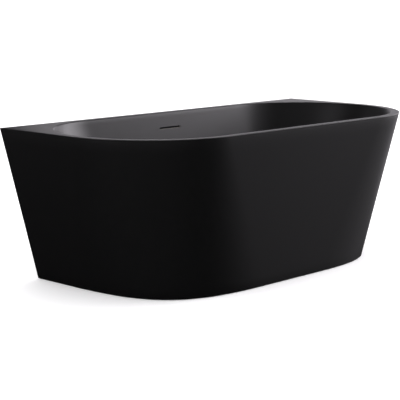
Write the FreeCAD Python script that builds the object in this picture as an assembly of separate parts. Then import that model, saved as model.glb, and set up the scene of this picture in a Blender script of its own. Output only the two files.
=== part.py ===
import FreeCAD, Part
import math
import os

from FreeCAD import Vector

# Freestanding back-to-wall bathtub. Millimetres, +Z up, X along the wall, +Y towards the wall.
# The origin is on the floor, under the middle of the rim; the wall is the plane y = BACK_Y.

os.makedirs("parts", exist_ok=True)

# ---- driving dimensions: shell -------------------------------------------------------------
LENGTH = 1700.0
WIDTH = 800.0
HEIGHT = 604.0
HALF_LENGTH = LENGTH / 2
BACK_Y = WIDTH / 2
FRONT_Y = -WIDTH / 2
RIM_CORNER = 400.0            # radius of the two front corners at the rim
ROUND_FULLNESS = 0.5523       # Bezier handle / radius that draws a circular corner
BASE_HALF_LENGTH = 681.0
BASE_FRONT_Y = -320.0
BASE_CORNER = 498.0           # length over which the fuller corner at the floor turns
BASE_FULLNESS = 0.783

SKIRT_BOTTOM = 2.0            # gap for the silicone joint at the floor
SKIRT_WALL = 6.0
SKIRT_TOP_FLANGE = 20.0
SKIRT_BOTTOM_LIP = 30.0
SKIRT_BACK_FLANGE = 36.0
SKIRT_BACK_FLANGE_THICKNESS = 6.0

# ---- driving dimensions: bowl --------------------------------------------------------------
RIM_WIDTH = 35.0
RIM_THICKNESS = 8.0
RIM_UNDERSIDE = HEIGHT - RIM_THICKNESS
RIM_INNER_EDGE_RADIUS = 4.0
WELL_HALF_LENGTH = HALF_LENGTH - RIM_WIDTH
WELL_HALF_WIDTH = WIDTH / 2 - RIM_WIDTH
FLOOR_Z = 165.0
FLOOR_HALF_LENGTH = 600.0
FLOOR_HALF_WIDTH = 265.0
FLOOR_FILLET = 110.0
BOWL_WALL = 8.0
BOWL_GROW = 8.5               # BOWL_WALL measured level, across the sloping wall
BOWL_UNDERSIDE = FLOOR_Z - BOWL_WALL

OVERFLOW_Z = 541.0
OVERFLOW_LENGTH = 125.0
OVERFLOW_HEIGHT = 8.0

# ---- driving dimensions: base, rails and uprights ------------------------------------------
BOARD_THICKNESS = 18.0
BOARD_HALF_LENGTH = 520.0
BOARD_HALF_WIDTH = 170.0
BOARD_CUTOUT_RADIUS = 50.0
BOARD_BOTTOM = BOWL_UNDERSIDE - BOARD_THICKNESS
BOARD_SCREW_YS = (-95.0, -40.0, 40.0, 95.0)
BOARD_SCREW_BITE = 14.0

RAIL_WIDTH = 30.0
RAIL_HEIGHT = 25.0
TUBE_WALL = 2.0
RAIL_TOP = BOARD_BOTTOM
RAIL_BOTTOM = RAIL_TOP - RAIL_HEIGHT
RAIL_FRONT_Y = -250.0
END_RAIL_X = 470.0
END_RAIL_REAR_Y = 391.0
MIDDLE_RAIL_X = 190.0
MIDDLE_RAIL_REAR_Y = 250.0
END_CAP_PLATE = 2.0
END_CAP_DEPTH = 12.0

UPRIGHT_SIZE = 20.0
UPRIGHT_REAR_Y = 391.0
UPRIGHT_PLATE_HALF = 22.0
UPRIGHT_PLATE_THICKNESS = 3.0
PLATE_SCREW_MARGIN = 5.0      # screw centre to the plate's end
BATTEN_SCREW_LENGTH = 18.0
BATTEN_BOTTOM = 572.0
BATTEN_HALF_LENGTH = 690.0
BATTEN_REAR_Y = 394.0
BATTEN_DEPTH = 20.0

CORNER_BOARD_THICKNESS = 12.0
CORNER_BOARD_X = 620.0
CORNER_BOARD_Y = 120.0
CORNER_BOARD_INSET = 28.0
CORNER_BOARD_GAP = 4.0
CORNER_BOARD_BACK_GAP = 1.0

STRAP_THICKNESS = 3.0
STRAP_Z = 300.0
STRAP_HEIGHT = 24.0
STRAP_REAR_Y = UPRIGHT_REAR_Y + STRAP_THICKNESS
STRAP_INNER_X = 460.0
STRAP_OUTER_X = 752.0
STRAP_SCREW_MARGIN = 12.0
UPRIGHT_SCREW_LENGTH = 14.0
FLANGE_SCREW_LENGTH = 8.0

WALL_BRACKET_Z = 380.0
WALL_BRACKET_HEIGHT = 60.0
WALL_BRACKET_WIDTH = 43.0
WALL_BRACKET_HOLE_RADIUS = 3.5
WALL_BRACKET_HOLE_SPACING = 30.0
WALL_BRACKET_HOLE_OFFSET = 25.5   # from the upright's side face
WALL_BRACKET_SCREW_OFFSET = 18.0  # up and down from the bracket's middle
WALL_BRACKET_SCREW_LENGTH = 10.0

SKIRT_BRACKET_WIDTH = 30.0
SKIRT_BRACKET_THICKNESS = 2.5
SKIRT_BRACKET_TOP = RAIL_TOP - 3.0
SKIRT_BRACKET_TOE_WIDTH = 29.5
SKIRT_BRACKET_TOE_REAR_Y = -230.0
RAIL_SCREW_UP = 10.0          # above the rail's underside
RAIL_SCREW_LENGTH = 9.0
LIP_SCREW_LENGTH = 7.0
LIP_SCREW_MARGIN = 6.0
SKIRT_BRACKET_PLACES = {"left": (-END_RAIL_X, -270.0), "middle": (MIDDLE_RAIL_X, -308.0),
                        "right": (END_RAIL_X, -270.0)}

# ---- driving dimensions: screws ------------------------------------------------------------
SCREW_RADIUS = 2.0
SCREW_HEAD_RADIUS = 4.5
SCREW_HEAD_HEIGHT = 2.5
SCREW_HEAD_ROUNDING = 1.5
CLEARANCE = 0.3               # radial gap between parts that touch without turning
RUNNING = 0.05                # radial gap where one part turns or slides in the other
PAST = 1.0                    # how far a cutting shape runs past the piece it cuts
WELL_PAST = 10.0              # the same for the large shell cuts

# ---- driving dimensions: levelling feet ----------------------------------------------------
FRONT_FOOT_Y = -190.0
REAR_FOOT_Y = 225.0
FOOT_PLACES = [(x, y) for y in (FRONT_FOOT_Y, REAR_FOOT_Y)
               for x in (-END_RAIL_X, MIDDLE_RAIL_X, END_RAIL_X)]
STUD_RADIUS = 5.0
STUD_TOP = 146.0              # still deep in its insert with the foot wound right out
STUD_PIN_RADIUS = 4.0
STUD_COLLAR_FLATS = 14.0
STUD_COLLAR_HEIGHT = 6.0
STUD_CHAMFER = 1.0
STUD_HOLE_GAP = 1.5           # round the stud, in the rail's top wall
PAD_GAP = 0.1                 # end float of the stud's pin in the pad
PAD_RADIUS = 25.0
PAD_THICKNESS = 8.0
PAD_HUB_RADIUS = 11.0
PAD_HUB_TOP = 16.0
PAD_BORE_BOTTOM = 4.0
PAD_ROUNDING = 2.0
SOCKET_RADIUS = 7.5
SOCKET_FLANGE_RADIUS = 10.5
SOCKET_FLANGE_THICKNESS = 1.5
SOCKET_DEPTH = 16.0
LOCK_NUT_FLATS = 17.0
LOCK_NUT_HEIGHT = 8.0

# ---- driving dimensions: waste and plug ----------------------------------------------------
WASTE_RECESS_RADIUS = 36.5
WASTE_RECESS_DEPTH = 3.0
WASTE_HOLE_RADIUS = 24.0
SEAL_THICKNESS = 1.5
FLANGE_RADIUS = 35.0
FLANGE_THICKNESS = 2.5
FLANGE_MOUTH_RADIUS = 19.5
FLANGE_MOUTH_DEPTH = 5.0
FLANGE_ROUNDING = 1.5
SEAL_INSET = 2.0              # the top seal stays this far inside the flange's edge
TAIL_RADIUS = 20.0
TAIL_BORE = 17.0
TAIL_BOTTOM = 128.0
BOSS_RADIUS = 8.0
BOSS_HEIGHT = 8.0
SPOKE_WIDTH = 3.0
SPOKE_COUNT = 3
SPOKE_OVERLAP = 1.0
WASTE_BODY_RADIUS = 26.0
WASTE_BODY_FLANGE_RADIUS = 33.0
WASTE_BODY_FLANGE_THICKNESS = 4.0
WASTE_BODY_BOTTOM = 98.0
WASTE_THREAD_RADIUS = 23.0
WASTE_THREAD_TOP = 112.0
BOTTOM_SEAL_THICKNESS = 3.0
INLET_Z = 122.0
INLET_REACH = 62.0

CORE_RADIUS = BOSS_RADIUS - 3.0
CORE_HEAD_RADIUS = 7.0
CORE_HEAD_THICKNESS = 3.0
CORE_FLOOR = 2.0
CORE_TOP = 150.0
CORE_BORE_BOTTOM = 126.0
STEM_RADIUS = 3.0
STEM_BOTTOM = 138.0
PLUG_TRAVEL = 9.0
PLUG_RADIUS = 31.0
PLUG_EDGE_THICKNESS = 2.5
PLUG_CROWN = 2.5
PLUG_SEAL_RADIUS = 27.0
PLUG_SEAL_THICKNESS = 2.0
PLUG_BOSS_RADIUS = 7.0
PLUG_BOSS_HEIGHT = 7.0
SPRING_RADIUS = 4.6
SPRING_WIRE_RADIUS = 0.5
SPRING_TURNS = 6.0

# ---- driving dimensions: overflow, hose, trap and outlet -----------------------------------
HOOD_TOP = 567.0
HOOD_BOTTOM = 515.0
HOOD_HALF_LENGTH = 76.0
HOOD_REAR_Y = 396.0
HOOD_WALL = 2.5
HOOD_SEAL_THICKNESS = 2.0
HOOD_SEAL_BAND = 7.0
HOSE_Y = 380.0
HOSE_RADIUS = 12.5
HOSE_BORE = 9.8
HOSE_BEND = 60.0
HOSE_END_GAP = 2.0            # between the hood's floor and the hose's cuff
HOSE_FRONT_GAP = 4.0          # between the waste body and the hose's cuff
HOSE_TOP = HOOD_BOTTOM - HOSE_END_GAP
HOSE_FRONT_Y = WASTE_BODY_RADIUS + HOSE_FRONT_GAP
TAILPIPE_RADIUS = 9.5
TAILPIPE_BORE = 7.5
TAILPIPE_BOTTOM = 478.0
CLIP_RADIUS = 14.2
CLIP_WIDTH = 9.0
CLIP_LUG = 5.0
CLIP_BELOW_HOSE_TOP = 12.0
CLIP_FROM_HOSE_FRONT = 14.0

TRAP_RADIUS = 55.0
TRAP_TOP = 88.0
TRAP_BOTTOM = 22.0
TRAP_WALL = 2.5
TRAP_ROUNDING = 8.0
TRAP_INSIDE_ROUNDING = 6.0
TRAP_INLET_RADIUS = 20.0
TRAP_COLLAR_RADIUS = 22.5
TRAP_COLLAR_THICKNESS = 3.0
DIP_TUBE_BOTTOM = 30.0
UNION_NUT_FLATS = 58.0
UNION_NUT_BOTTOM = 90.0
UNION_NUT_TOP = 110.0
TRAP_SEAL_THICKNESS = 2.0
CLEANOUT_RADIUS = 32.0
CLEANOUT_BOTTOM = 14.0
CLEANOUT_WALL = 4.0
CLEANOUT_FACE = 3.0
CLEANOUT_GRIP_HEIGHT = 4.0
CLEANOUT_GRIP_HALF_LENGTH = 26.0
CLEANOUT_GRIP_HALF_WIDTH = 2.5
OUTLET_Z = 64.0
OUTLET_RADIUS = 20.0
OUTLET_BORE = 18.0
OUTLET_SOCKET_RADIUS = 25.0
OUTLET_SOCKET_ROOT = 43.0
OUTLET_SOCKET_END = 90.0
PIPE_SEAT_LENGTH = 40.0
OUTLET_NUT_FLATS = 58.0
OUTLET_NUT_LENGTH = 20.0
OUTLET_NUT_OVERHANG = 8.0     # past the end of the trap's socket
OUTLET_SEAL_THICKNESS = 4.0
PIPE_START_Y = 70.0
PIPE_END_Y = 398.0
PIPE_BEAD_Y = 330.0
PIPE_BEAD_WIDTH = 4.0
PIPE_BEAD_RADIUS = 22.0

UP = Vector(0, 0, 1)
DOWN = Vector(0, 0, -1)
ALONG_X = Vector(1, 0, 0)
TO_WALL = Vector(0, 1, 0)
FROM_WALL = Vector(0, -1, 0)


# ---- small helpers -------------------------------------------------------------------------
def mix(low, high, fraction):
    return low + (high - low) * fraction


def box(x0, x1, y0, y1, z0, z1):
    return Part.makeBox(x1 - x0, y1 - y0, z1 - z0, Vector(x0, y0, z0))


def rod(radius, start, direction, length):
    return Part.makeCylinder(radius, length, start, direction)


def disc(radius, x, y, z0, z1):
    return rod(radius, Vector(x, y, z0), UP, z1 - z0)


def ring(outer, inner, x, y, z0, z1):
    return disc(outer, x, y, z0, z1).cut(disc(inner, x, y, z0 - PAST, z1 + PAST))


def hexagon(across_flats, centre, direction, length):
    """Hexagonal bar that starts at centre and runs along direction."""
    corner_radius = across_flats / 2 / math.cos(math.pi / 6)
    side = ALONG_X if abs(direction.x) < 0.5 else TO_WALL
    other = direction.cross(side)
    corners = []
    for step in range(7):
        angle = step * math.pi / 3
        corners.append(centre + side * (corner_radius * math.cos(angle))
                       + other * (corner_radius * math.sin(angle)))
    return Part.Face(Part.makePolygon(corners)).extrude(direction * length)


def prism_along_x(profile_yz, x0, x1):
    """Solid with the given (y, z) outline, running from x0 to x1."""
    corners = [Vector(x0, y, z) for y, z in profile_yz]
    face = Part.Face(Part.makePolygon(corners + corners[:1]))
    return face.extrude(Vector(x1 - x0, 0, 0))


def fuse_all(shapes):
    return shapes[0].multiFuse(shapes[1:]).removeSplitter()


def mirrored(shape):
    """The same shape on the other end of the tub."""
    return shape.mirror(Vector(0, 0, 0), ALONG_X)


def mirrored_screws(screws):
    pairs = []
    for seat, direction, length in screws:
        pairs.append((Vector(-seat.x, seat.y, seat.z),
                      Vector(-direction.x, direction.y, direction.z), length))
    return pairs


def screw(seat, direction, length):
    """Pan-head screw: its head sits at seat and its shank runs along direction."""
    head = rod(SCREW_HEAD_RADIUS, seat, direction * -1, SCREW_HEAD_HEIGHT)
    rim = [edge for edge in head.Edges
           if isinstance(edge.Curve, Part.Circle)
           and (edge.CenterOfMass - seat).Length > SCREW_HEAD_HEIGHT / 2]
    head = head.makeFillet(SCREW_HEAD_ROUNDING, rim)
    return head.fuse(rod(SCREW_RADIUS, seat, direction, length)).removeSplitter()


def screw_group(screws):
    return Part.makeCompound([screw(*placed) for placed in screws])


def drilled(shape, screws):
    """The shape with a clearance hole for each screw shank."""
    for seat, direction, length in screws:
        start = seat - direction * PAST
        hole = rod(SCREW_RADIUS + CLEARANCE, start, direction, PAST + length + CLEARANCE)
        shape = shape.cut(hole)
    return shape


# ---- outer shell: a D-shaped outline that tapers and fills out towards the floor -----------
def shell_outline(z, inset, back_y):
    """Closed wire of the outer wall at height z, moved inwards by inset."""
    up = z / HEIGHT
    half_length = mix(BASE_HALF_LENGTH, HALF_LENGTH, up) - inset
    front_y = mix(BASE_FRONT_Y, FRONT_Y, up) + inset
    full_corner = mix(BASE_CORNER, RIM_CORNER, up)
    full_handle = mix(BASE_CORNER * BASE_FULLNESS, RIM_CORNER * ROUND_FULLNESS, up)
    corner = full_corner - inset
    handle = full_handle * corner / full_corner
    side_end_y = front_y + corner
    front_end_x = half_length - corner

    def corner_curve(side):
        curve = Part.BezierCurve()
        curve.setPoles([
            Vector(side * half_length, side_end_y, z),
            Vector(side * half_length, side_end_y - handle, z),
            Vector(side * (front_end_x + handle), front_y, z),
            Vector(side * front_end_x, front_y, z),
        ])
        return curve.toShape()

    back_left = Vector(-half_length, back_y, z)
    back_right = Vector(half_length, back_y, z)
    edges = [
        Part.makeLine(back_right, Vector(half_length, side_end_y, z)),
        corner_curve(1),
        Part.makeLine(Vector(front_end_x, front_y, z), Vector(-front_end_x, front_y, z)),
        corner_curve(-1),
        Part.makeLine(Vector(-half_length, side_end_y, z), back_left),
        Part.makeLine(back_left, back_right),
    ]
    return Part.Wire(Part.__sortEdges__(edges))


def shell_block(z0, z1, inset=0.0, back_y=BACK_Y):
    """Solid between two heights, trimmed to a true plane at the back."""
    sections = [shell_outline(z, inset, back_y + WELL_PAST) for z in (z0, z1)]
    behind = box(-LENGTH, LENGTH, back_y, back_y + 2 * WELL_PAST, z0 - PAST, z1 + PAST)
    return Part.makeLoft(sections, True, True).cut(behind)


# ---- bowl: a stadium outline with straight sloping walls and a rounded floor ---------------
def stadium(z, half_length, half_width):
    """Closed wire with straight sides along X and semicircular ends."""
    centre_x = half_length - half_width
    right_back = Vector(centre_x, half_width, z)
    right_front = Vector(centre_x, -half_width, z)
    left_back = Vector(-centre_x, half_width, z)
    left_front = Vector(-centre_x, -half_width, z)
    right_end = Part.Arc(right_back, Vector(half_length, 0, z), right_front)
    left_end = Part.Arc(left_front, Vector(-half_length, 0, z), left_back)
    edges = [
        Part.makeLine(left_back, right_back),
        right_end.toShape(),
        Part.makeLine(right_front, left_front),
        left_end.toShape(),
    ]
    return Part.Wire(edges)


def stadium_slab(z0, z1, half_length, half_width):
    return Part.Face(stadium(z0, half_length, half_width)).extrude(Vector(0, 0, z1 - z0))


def bowl_section(z, grow):
    up = (z - FLOOR_Z) / (HEIGHT - FLOOR_Z)
    half_length = mix(FLOOR_HALF_LENGTH, WELL_HALF_LENGTH, up) + grow
    half_width = mix(FLOOR_HALF_WIDTH, WELL_HALF_WIDTH, up) + grow
    return stadium(z, half_length, half_width)


def bowl_block(z0, z1, grow, fillet):
    """Solid that fills the bowl from z0 to z1, with its bottom edge rounded."""
    block = Part.makeLoft([bowl_section(z0, grow), bowl_section(z1, grow)], True, True)
    bottom_edges = [edge for edge in block.Edges if edge.BoundBox.ZMax < z0 + 0.1]
    return block.makeFillet(fillet, bottom_edges)


def well_wall_y(z, grow=0.0):
    """y of the bowl's straight back wall at height z."""
    up = (z - FLOOR_Z) / (HEIGHT - FLOOR_Z)
    return mix(FLOOR_HALF_WIDTH, WELL_HALF_WIDTH, up) + grow


def overflow_slot():
    """Long round-ended slot, cut level through the back wall."""
    end_radius = OVERFLOW_HEIGHT / 2
    half = OVERFLOW_LENGTH / 2 - end_radius
    y0 = well_wall_y(OVERFLOW_Z) - WELL_PAST
    depth = 2 * WELL_PAST + BOWL_GROW
    ends = [rod(end_radius, Vector(x, y0, OVERFLOW_Z), TO_WALL, depth) for x in (-half, half)]
    middle = box(-half, half, y0, y0 + depth, OVERFLOW_Z - end_radius, OVERFLOW_Z + end_radius)
    return fuse_all([middle] + ends)


def at_height(edge, z):
    return abs(edge.BoundBox.ZMin - z) < 0.01 and abs(edge.BoundBox.ZMax - z) < 0.01


def round_the_well(edge):
    """Whether an edge of the rim's top belongs to the well and not to the outline."""
    bounds = edge.BoundBox
    reach_x = max(abs(bounds.XMin), abs(bounds.XMax))
    reach_y = max(abs(bounds.YMin), abs(bounds.YMax))
    margin = RIM_WIDTH / 2
    return reach_x < WELL_HALF_LENGTH + margin and reach_y < WELL_HALF_WIDTH + margin


def make_inner_basin():
    rim = shell_block(RIM_UNDERSIDE, HEIGHT)
    outside = bowl_block(BOWL_UNDERSIDE, RIM_UNDERSIDE + PAST, BOWL_GROW, FLOOR_FILLET + BOWL_WALL)
    inside = bowl_block(FLOOR_Z, HEIGHT + PAST, 0.0, FLOOR_FILLET)
    basin = rim.fuse(outside).cut(inside)
    recess_z = FLOOR_Z - WASTE_RECESS_DEPTH
    basin = basin.cut(disc(WASTE_RECESS_RADIUS, 0, 0, recess_z, FLOOR_Z + PAST))
    basin = basin.cut(disc(WASTE_HOLE_RADIUS, 0, 0, BOWL_UNDERSIDE - PAST, FLOOR_Z))
    basin = basin.cut(overflow_slot())
    well_edges = [edge for edge in basin.Edges if at_height(edge, HEIGHT) and round_the_well(edge)]
    return basin.makeFillet(RIM_INNER_EDGE_RADIUS, well_edges)


def make_outer_skirt():
    """Thin wall all round, with a flange turned in at the top, bottom and back edges."""
    inner_bottom = SKIRT_BOTTOM + SKIRT_WALL
    inner_top = RIM_UNDERSIDE - SKIRT_WALL
    past_back = BACK_Y + WELL_PAST
    skin = shell_block(SKIRT_BOTTOM, RIM_UNDERSIDE)
    hollow = shell_block(inner_bottom, inner_top, SKIRT_WALL, BACK_Y - SKIRT_BACK_FLANGE_THICKNESS)
    top = shell_block(inner_top - PAST, RIM_UNDERSIDE + PAST, SKIRT_TOP_FLANGE, past_back)
    bottom = shell_block(SKIRT_BOTTOM - PAST, inner_bottom + PAST, SKIRT_BOTTOM_LIP, past_back)
    back = shell_block(SKIRT_BOTTOM - PAST, RIM_UNDERSIDE + PAST, SKIRT_BACK_FLANGE, past_back)
    behind = box(-LENGTH, LENGTH, BACK_Y - SKIRT_TOP_FLANGE, past_back, -PAST, HEIGHT)
    skirt = skin.cut(hollow).cut(top).cut(bottom).cut(back.common(behind))
    return drilled(skirt, strap_flange_screws() + skirt_lip_screws())


# ---- base board, rails, uprights and battens -----------------------------------------------
def board_screws():
    """Screws driven up through each rail into the base board."""
    screws = []
    for x in (-END_RAIL_X, MIDDLE_RAIL_X, END_RAIL_X):
        for y in BOARD_SCREW_YS:
            screws.append((Vector(x, y, RAIL_BOTTOM), UP, RAIL_HEIGHT + BOARD_SCREW_BITE))
    return screws


def make_base_board():
    board = stadium_slab(BOARD_BOTTOM, BOWL_UNDERSIDE, BOARD_HALF_LENGTH, BOARD_HALF_WIDTH)
    cutout = disc(BOARD_CUTOUT_RADIUS, 0, 0, BOARD_BOTTOM - PAST, BOWL_UNDERSIDE + PAST)
    board = board.cut(cutout)
    return drilled(board, board_screws())


def make_cross_rail(x, rear_y, side_screws):
    half = RAIL_WIDTH / 2
    rail = box(x - half, x + half, RAIL_FRONT_Y, rear_y, RAIL_BOTTOM, RAIL_TOP)
    rail = rail.cut(box(x - half + TUBE_WALL, x + half - TUBE_WALL, RAIL_FRONT_Y - PAST, rear_y + PAST,
                        RAIL_BOTTOM + TUBE_WALL, RAIL_TOP - TUBE_WALL))
    for foot_y in (FRONT_FOOT_Y, REAR_FOOT_Y):
        rail = rail.cut(disc(SOCKET_RADIUS + CLEARANCE, x, foot_y,
                             RAIL_BOTTOM - PAST, RAIL_BOTTOM + TUBE_WALL + PAST))
        rail = rail.cut(disc(STUD_RADIUS + STUD_HOLE_GAP, x, foot_y,
                             RAIL_TOP - TUBE_WALL - PAST, RAIL_TOP + PAST))
    return drilled(rail, board_screws() + side_screws)


def make_end_cap(x, end_y, inward):
    """Plastic plug in the end of a rail; inward is +1 or -1 along Y."""
    half = RAIL_WIDTH / 2
    plate = sorted([end_y, end_y - inward * END_CAP_PLATE])
    plug = sorted([end_y, end_y + inward * END_CAP_DEPTH])
    gap = TUBE_WALL + CLEARANCE
    cap = box(x - half, x + half, plate[0], plate[1], RAIL_BOTTOM, RAIL_TOP)
    return cap.fuse(box(x - half + gap, x + half - gap, plug[0], plug[1],
                        RAIL_BOTTOM + gap, RAIL_TOP - gap)).removeSplitter()


def make_rail_end_caps():
    caps = []
    rails = [(-END_RAIL_X, END_RAIL_REAR_Y), (MIDDLE_RAIL_X, MIDDLE_RAIL_REAR_Y),
             (END_RAIL_X, END_RAIL_REAR_Y)]
    for x, rear_y in rails:
        caps.append(make_end_cap(x, RAIL_FRONT_Y, 1))
        caps.append(make_end_cap(x, rear_y, -1))
    return Part.makeCompound(caps)


def batten_screws():
    """Two screws up through each upright's top plate into the batten."""
    y = BATTEN_REAR_Y - BATTEN_DEPTH / 2
    z = BATTEN_BOTTOM - UPRIGHT_PLATE_THICKNESS
    offset = UPRIGHT_PLATE_HALF - PLATE_SCREW_MARGIN
    return [(Vector(end * END_RAIL_X + side * offset, y, z), UP, BATTEN_SCREW_LENGTH)
            for end in (-1, 1) for side in (-1, 1)]


def make_upright():
    """Tube that stands on the rear of the right-hand rail and carries the batten."""
    half = UPRIGHT_SIZE / 2
    x = END_RAIL_X
    front_y = UPRIGHT_REAR_Y - UPRIGHT_SIZE
    plate_z = BATTEN_BOTTOM - UPRIGHT_PLATE_THICKNESS
    tube = box(x - half, x + half, front_y, UPRIGHT_REAR_Y, RAIL_TOP, plate_z)
    bore = box(x - half + TUBE_WALL, x + half - TUBE_WALL, front_y + TUBE_WALL,
               UPRIGHT_REAR_Y - TUBE_WALL, RAIL_TOP - PAST, plate_z + PAST)
    plate = box(x - UPRIGHT_PLATE_HALF, x + UPRIGHT_PLATE_HALF, front_y, UPRIGHT_REAR_Y,
                plate_z, BATTEN_BOTTOM)
    upright = fuse_all([tube.cut(bore), plate])
    return drilled(upright, batten_screws() + strap_upright_screws() + wall_bracket_screws())


def make_back_batten():
    batten = box(-BATTEN_HALF_LENGTH, BATTEN_HALF_LENGTH, BATTEN_REAR_Y - BATTEN_DEPTH,
                 BATTEN_REAR_Y, BATTEN_BOTTOM, RIM_UNDERSIDE)
    return drilled(batten, batten_screws())


def make_corner_board():
    """Plywood under the flat shelf of the rim, in the right-hand back corner."""
    z0 = RIM_UNDERSIDE - CORNER_BOARD_THICKNESS
    rear_y = BATTEN_REAR_Y - BATTEN_DEPTH - CORNER_BOARD_BACK_GAP
    area = box(CORNER_BOARD_X, LENGTH, CORNER_BOARD_Y, rear_y, z0, RIM_UNDERSIDE)
    inside_skirt = shell_block(z0 - PAST, HEIGHT, CORNER_BOARD_INSET)
    grow = BOWL_GROW + CORNER_BOARD_GAP
    bowl = stadium_slab(z0 - PAST, RIM_UNDERSIDE + PAST, WELL_HALF_LENGTH + grow,
                        WELL_HALF_WIDTH + grow)
    return area.common(inside_skirt).cut(bowl)


# ---- straps and brackets (right-hand or front set; the others are mirrored) -----------------
def strap_upright_screws():
    return [(Vector(END_RAIL_X, STRAP_REAR_Y, STRAP_Z), FROM_WALL, UPRIGHT_SCREW_LENGTH)]


def strap_flange_screws():
    seat = Vector(STRAP_OUTER_X - STRAP_SCREW_MARGIN, UPRIGHT_REAR_Y, STRAP_Z)
    right = [(seat, TO_WALL, FLANGE_SCREW_LENGTH)]
    return right + mirrored_screws(right)


def make_side_strap():
    strap = box(STRAP_INNER_X, STRAP_OUTER_X, UPRIGHT_REAR_Y, STRAP_REAR_Y,
                STRAP_Z - STRAP_HEIGHT / 2, STRAP_Z + STRAP_HEIGHT / 2)
    return drilled(strap, strap_upright_screws() + strap_flange_screws())


def wall_bracket_screws():
    seat_x = END_RAIL_X + UPRIGHT_SIZE / 2 + STRAP_THICKNESS
    y = UPRIGHT_REAR_Y - UPRIGHT_SIZE / 2
    heights = (WALL_BRACKET_Z - WALL_BRACKET_SCREW_OFFSET, WALL_BRACKET_Z + WALL_BRACKET_SCREW_OFFSET)
    return [(Vector(seat_x, y, z), Vector(-1, 0, 0), WALL_BRACKET_SCREW_LENGTH) for z in heights]


def make_wall_bracket():
    """Angle that holds the right-hand upright to the wall."""
    x0 = END_RAIL_X + UPRIGHT_SIZE / 2
    z0 = WALL_BRACKET_Z - WALL_BRACKET_HEIGHT / 2
    z1 = WALL_BRACKET_Z + WALL_BRACKET_HEIGHT / 2
    side_leg = box(x0, x0 + STRAP_THICKNESS, UPRIGHT_REAR_Y - UPRIGHT_SIZE, BACK_Y, z0, z1)
    wall_leg = box(x0, x0 + WALL_BRACKET_WIDTH, BACK_Y - STRAP_THICKNESS, BACK_Y, z0, z1)
    bracket = fuse_all([side_leg, wall_leg])
    for dz in (-WALL_BRACKET_HOLE_SPACING / 2, WALL_BRACKET_HOLE_SPACING / 2):
        start = Vector(x0 + WALL_BRACKET_HOLE_OFFSET, BACK_Y - STRAP_THICKNESS - PAST,
                       WALL_BRACKET_Z + dz)
        hole = rod(WALL_BRACKET_HOLE_RADIUS, start, TO_WALL, STRAP_THICKNESS + 2 * PAST)
        bracket = bracket.cut(hole)
    return drilled(bracket, wall_bracket_screws())


def bracket_side(name):
    """Which side face of its rail a skirt bracket is screwed to."""
    return -1 if name == "left" else 1


def skirt_rail_screw(name):
    x = SKIRT_BRACKET_PLACES[name][0]
    side = bracket_side(name)
    seat = Vector(x + side * (RAIL_WIDTH / 2 + SKIRT_BRACKET_THICKNESS),
                  RAIL_FRONT_Y + SKIRT_BRACKET_WIDTH / 2, RAIL_BOTTOM + RAIL_SCREW_UP)
    return (seat, Vector(-side, 0, 0), RAIL_SCREW_LENGTH)


def skirt_lip_screw(name):
    x, tip_y = SKIRT_BRACKET_PLACES[name]
    seat_z = SKIRT_BOTTOM + SKIRT_WALL + SKIRT_BRACKET_THICKNESS
    return (Vector(x, tip_y + LIP_SCREW_MARGIN, seat_z), DOWN, LIP_SCREW_LENGTH)


def skirt_lip_screws():
    return [skirt_lip_screw(name) for name in SKIRT_BRACKET_PLACES]


def make_skirt_bracket(name):
    """Angle from the side of a rail down to the skirt's in-turned lower lip."""
    x, tip_y = SKIRT_BRACKET_PLACES[name]
    side = bracket_side(name)
    face_x = x + side * RAIL_WIDTH / 2
    outer_x = face_x + side * SKIRT_BRACKET_THICKNESS
    inner_x = outer_x - side * SKIRT_BRACKET_TOE_WIDTH
    z0 = SKIRT_BOTTOM + SKIRT_WALL
    leg = box(min(face_x, outer_x), max(face_x, outer_x), RAIL_FRONT_Y,
              RAIL_FRONT_Y + SKIRT_BRACKET_WIDTH, z0, SKIRT_BRACKET_TOP)
    toe = box(min(inner_x, outer_x), max(inner_x, outer_x), tip_y, SKIRT_BRACKET_TOE_REAR_Y,
              z0, z0 + SKIRT_BRACKET_THICKNESS)
    return drilled(fuse_all([leg, toe]), [skirt_rail_screw(name), skirt_lip_screw(name)])


def bracket_screws():
    right = strap_upright_screws() + wall_bracket_screws()
    screws = right + mirrored_screws(right) + strap_flange_screws()
    for name in SKIRT_BRACKET_PLACES:
        screws += [skirt_rail_screw(name), skirt_lip_screw(name)]
    return screws


# ---- levelling feet ------------------------------------------------------------------------
def make_foot_socket(x, y):
    """Threaded insert in the bottom wall of a rail."""
    flange_z = RAIL_BOTTOM - SOCKET_FLANGE_THICKNESS
    socket = disc(SOCKET_FLANGE_RADIUS, x, y, flange_z, RAIL_BOTTOM)
    socket = socket.fuse(disc(SOCKET_RADIUS, x, y, flange_z, RAIL_BOTTOM + SOCKET_DEPTH))
    bore = disc(STUD_RADIUS + RUNNING, x, y, flange_z - PAST, RAIL_BOTTOM + SOCKET_DEPTH + PAST)
    return socket.cut(bore).removeSplitter()


def make_lock_nut(x, y):
    top = RAIL_BOTTOM - SOCKET_FLANGE_THICKNESS
    bottom = top - LOCK_NUT_HEIGHT
    nut = hexagon(LOCK_NUT_FLATS, Vector(x, y, bottom), UP, LOCK_NUT_HEIGHT)
    return nut.cut(disc(STUD_RADIUS + RUNNING, x, y, bottom - PAST, top + PAST))


def make_foot_stud(x, y):
    """Threaded stud with a hexagonal collar and a plain pin that turns in the pad."""
    collar_bottom = PAD_HUB_TOP + PAD_GAP
    stud = disc(STUD_RADIUS, x, y, collar_bottom, STUD_TOP)
    stud = stud.makeChamfer(STUD_CHAMFER, [edge for edge in stud.Edges if at_height(edge, STUD_TOP)])
    collar = hexagon(STUD_COLLAR_FLATS, Vector(x, y, collar_bottom), UP, STUD_COLLAR_HEIGHT)
    pin = disc(STUD_PIN_RADIUS, x, y, PAD_BORE_BOTTOM + PAD_GAP, collar_bottom + PAST)
    return fuse_all([stud, collar, pin])


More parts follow.
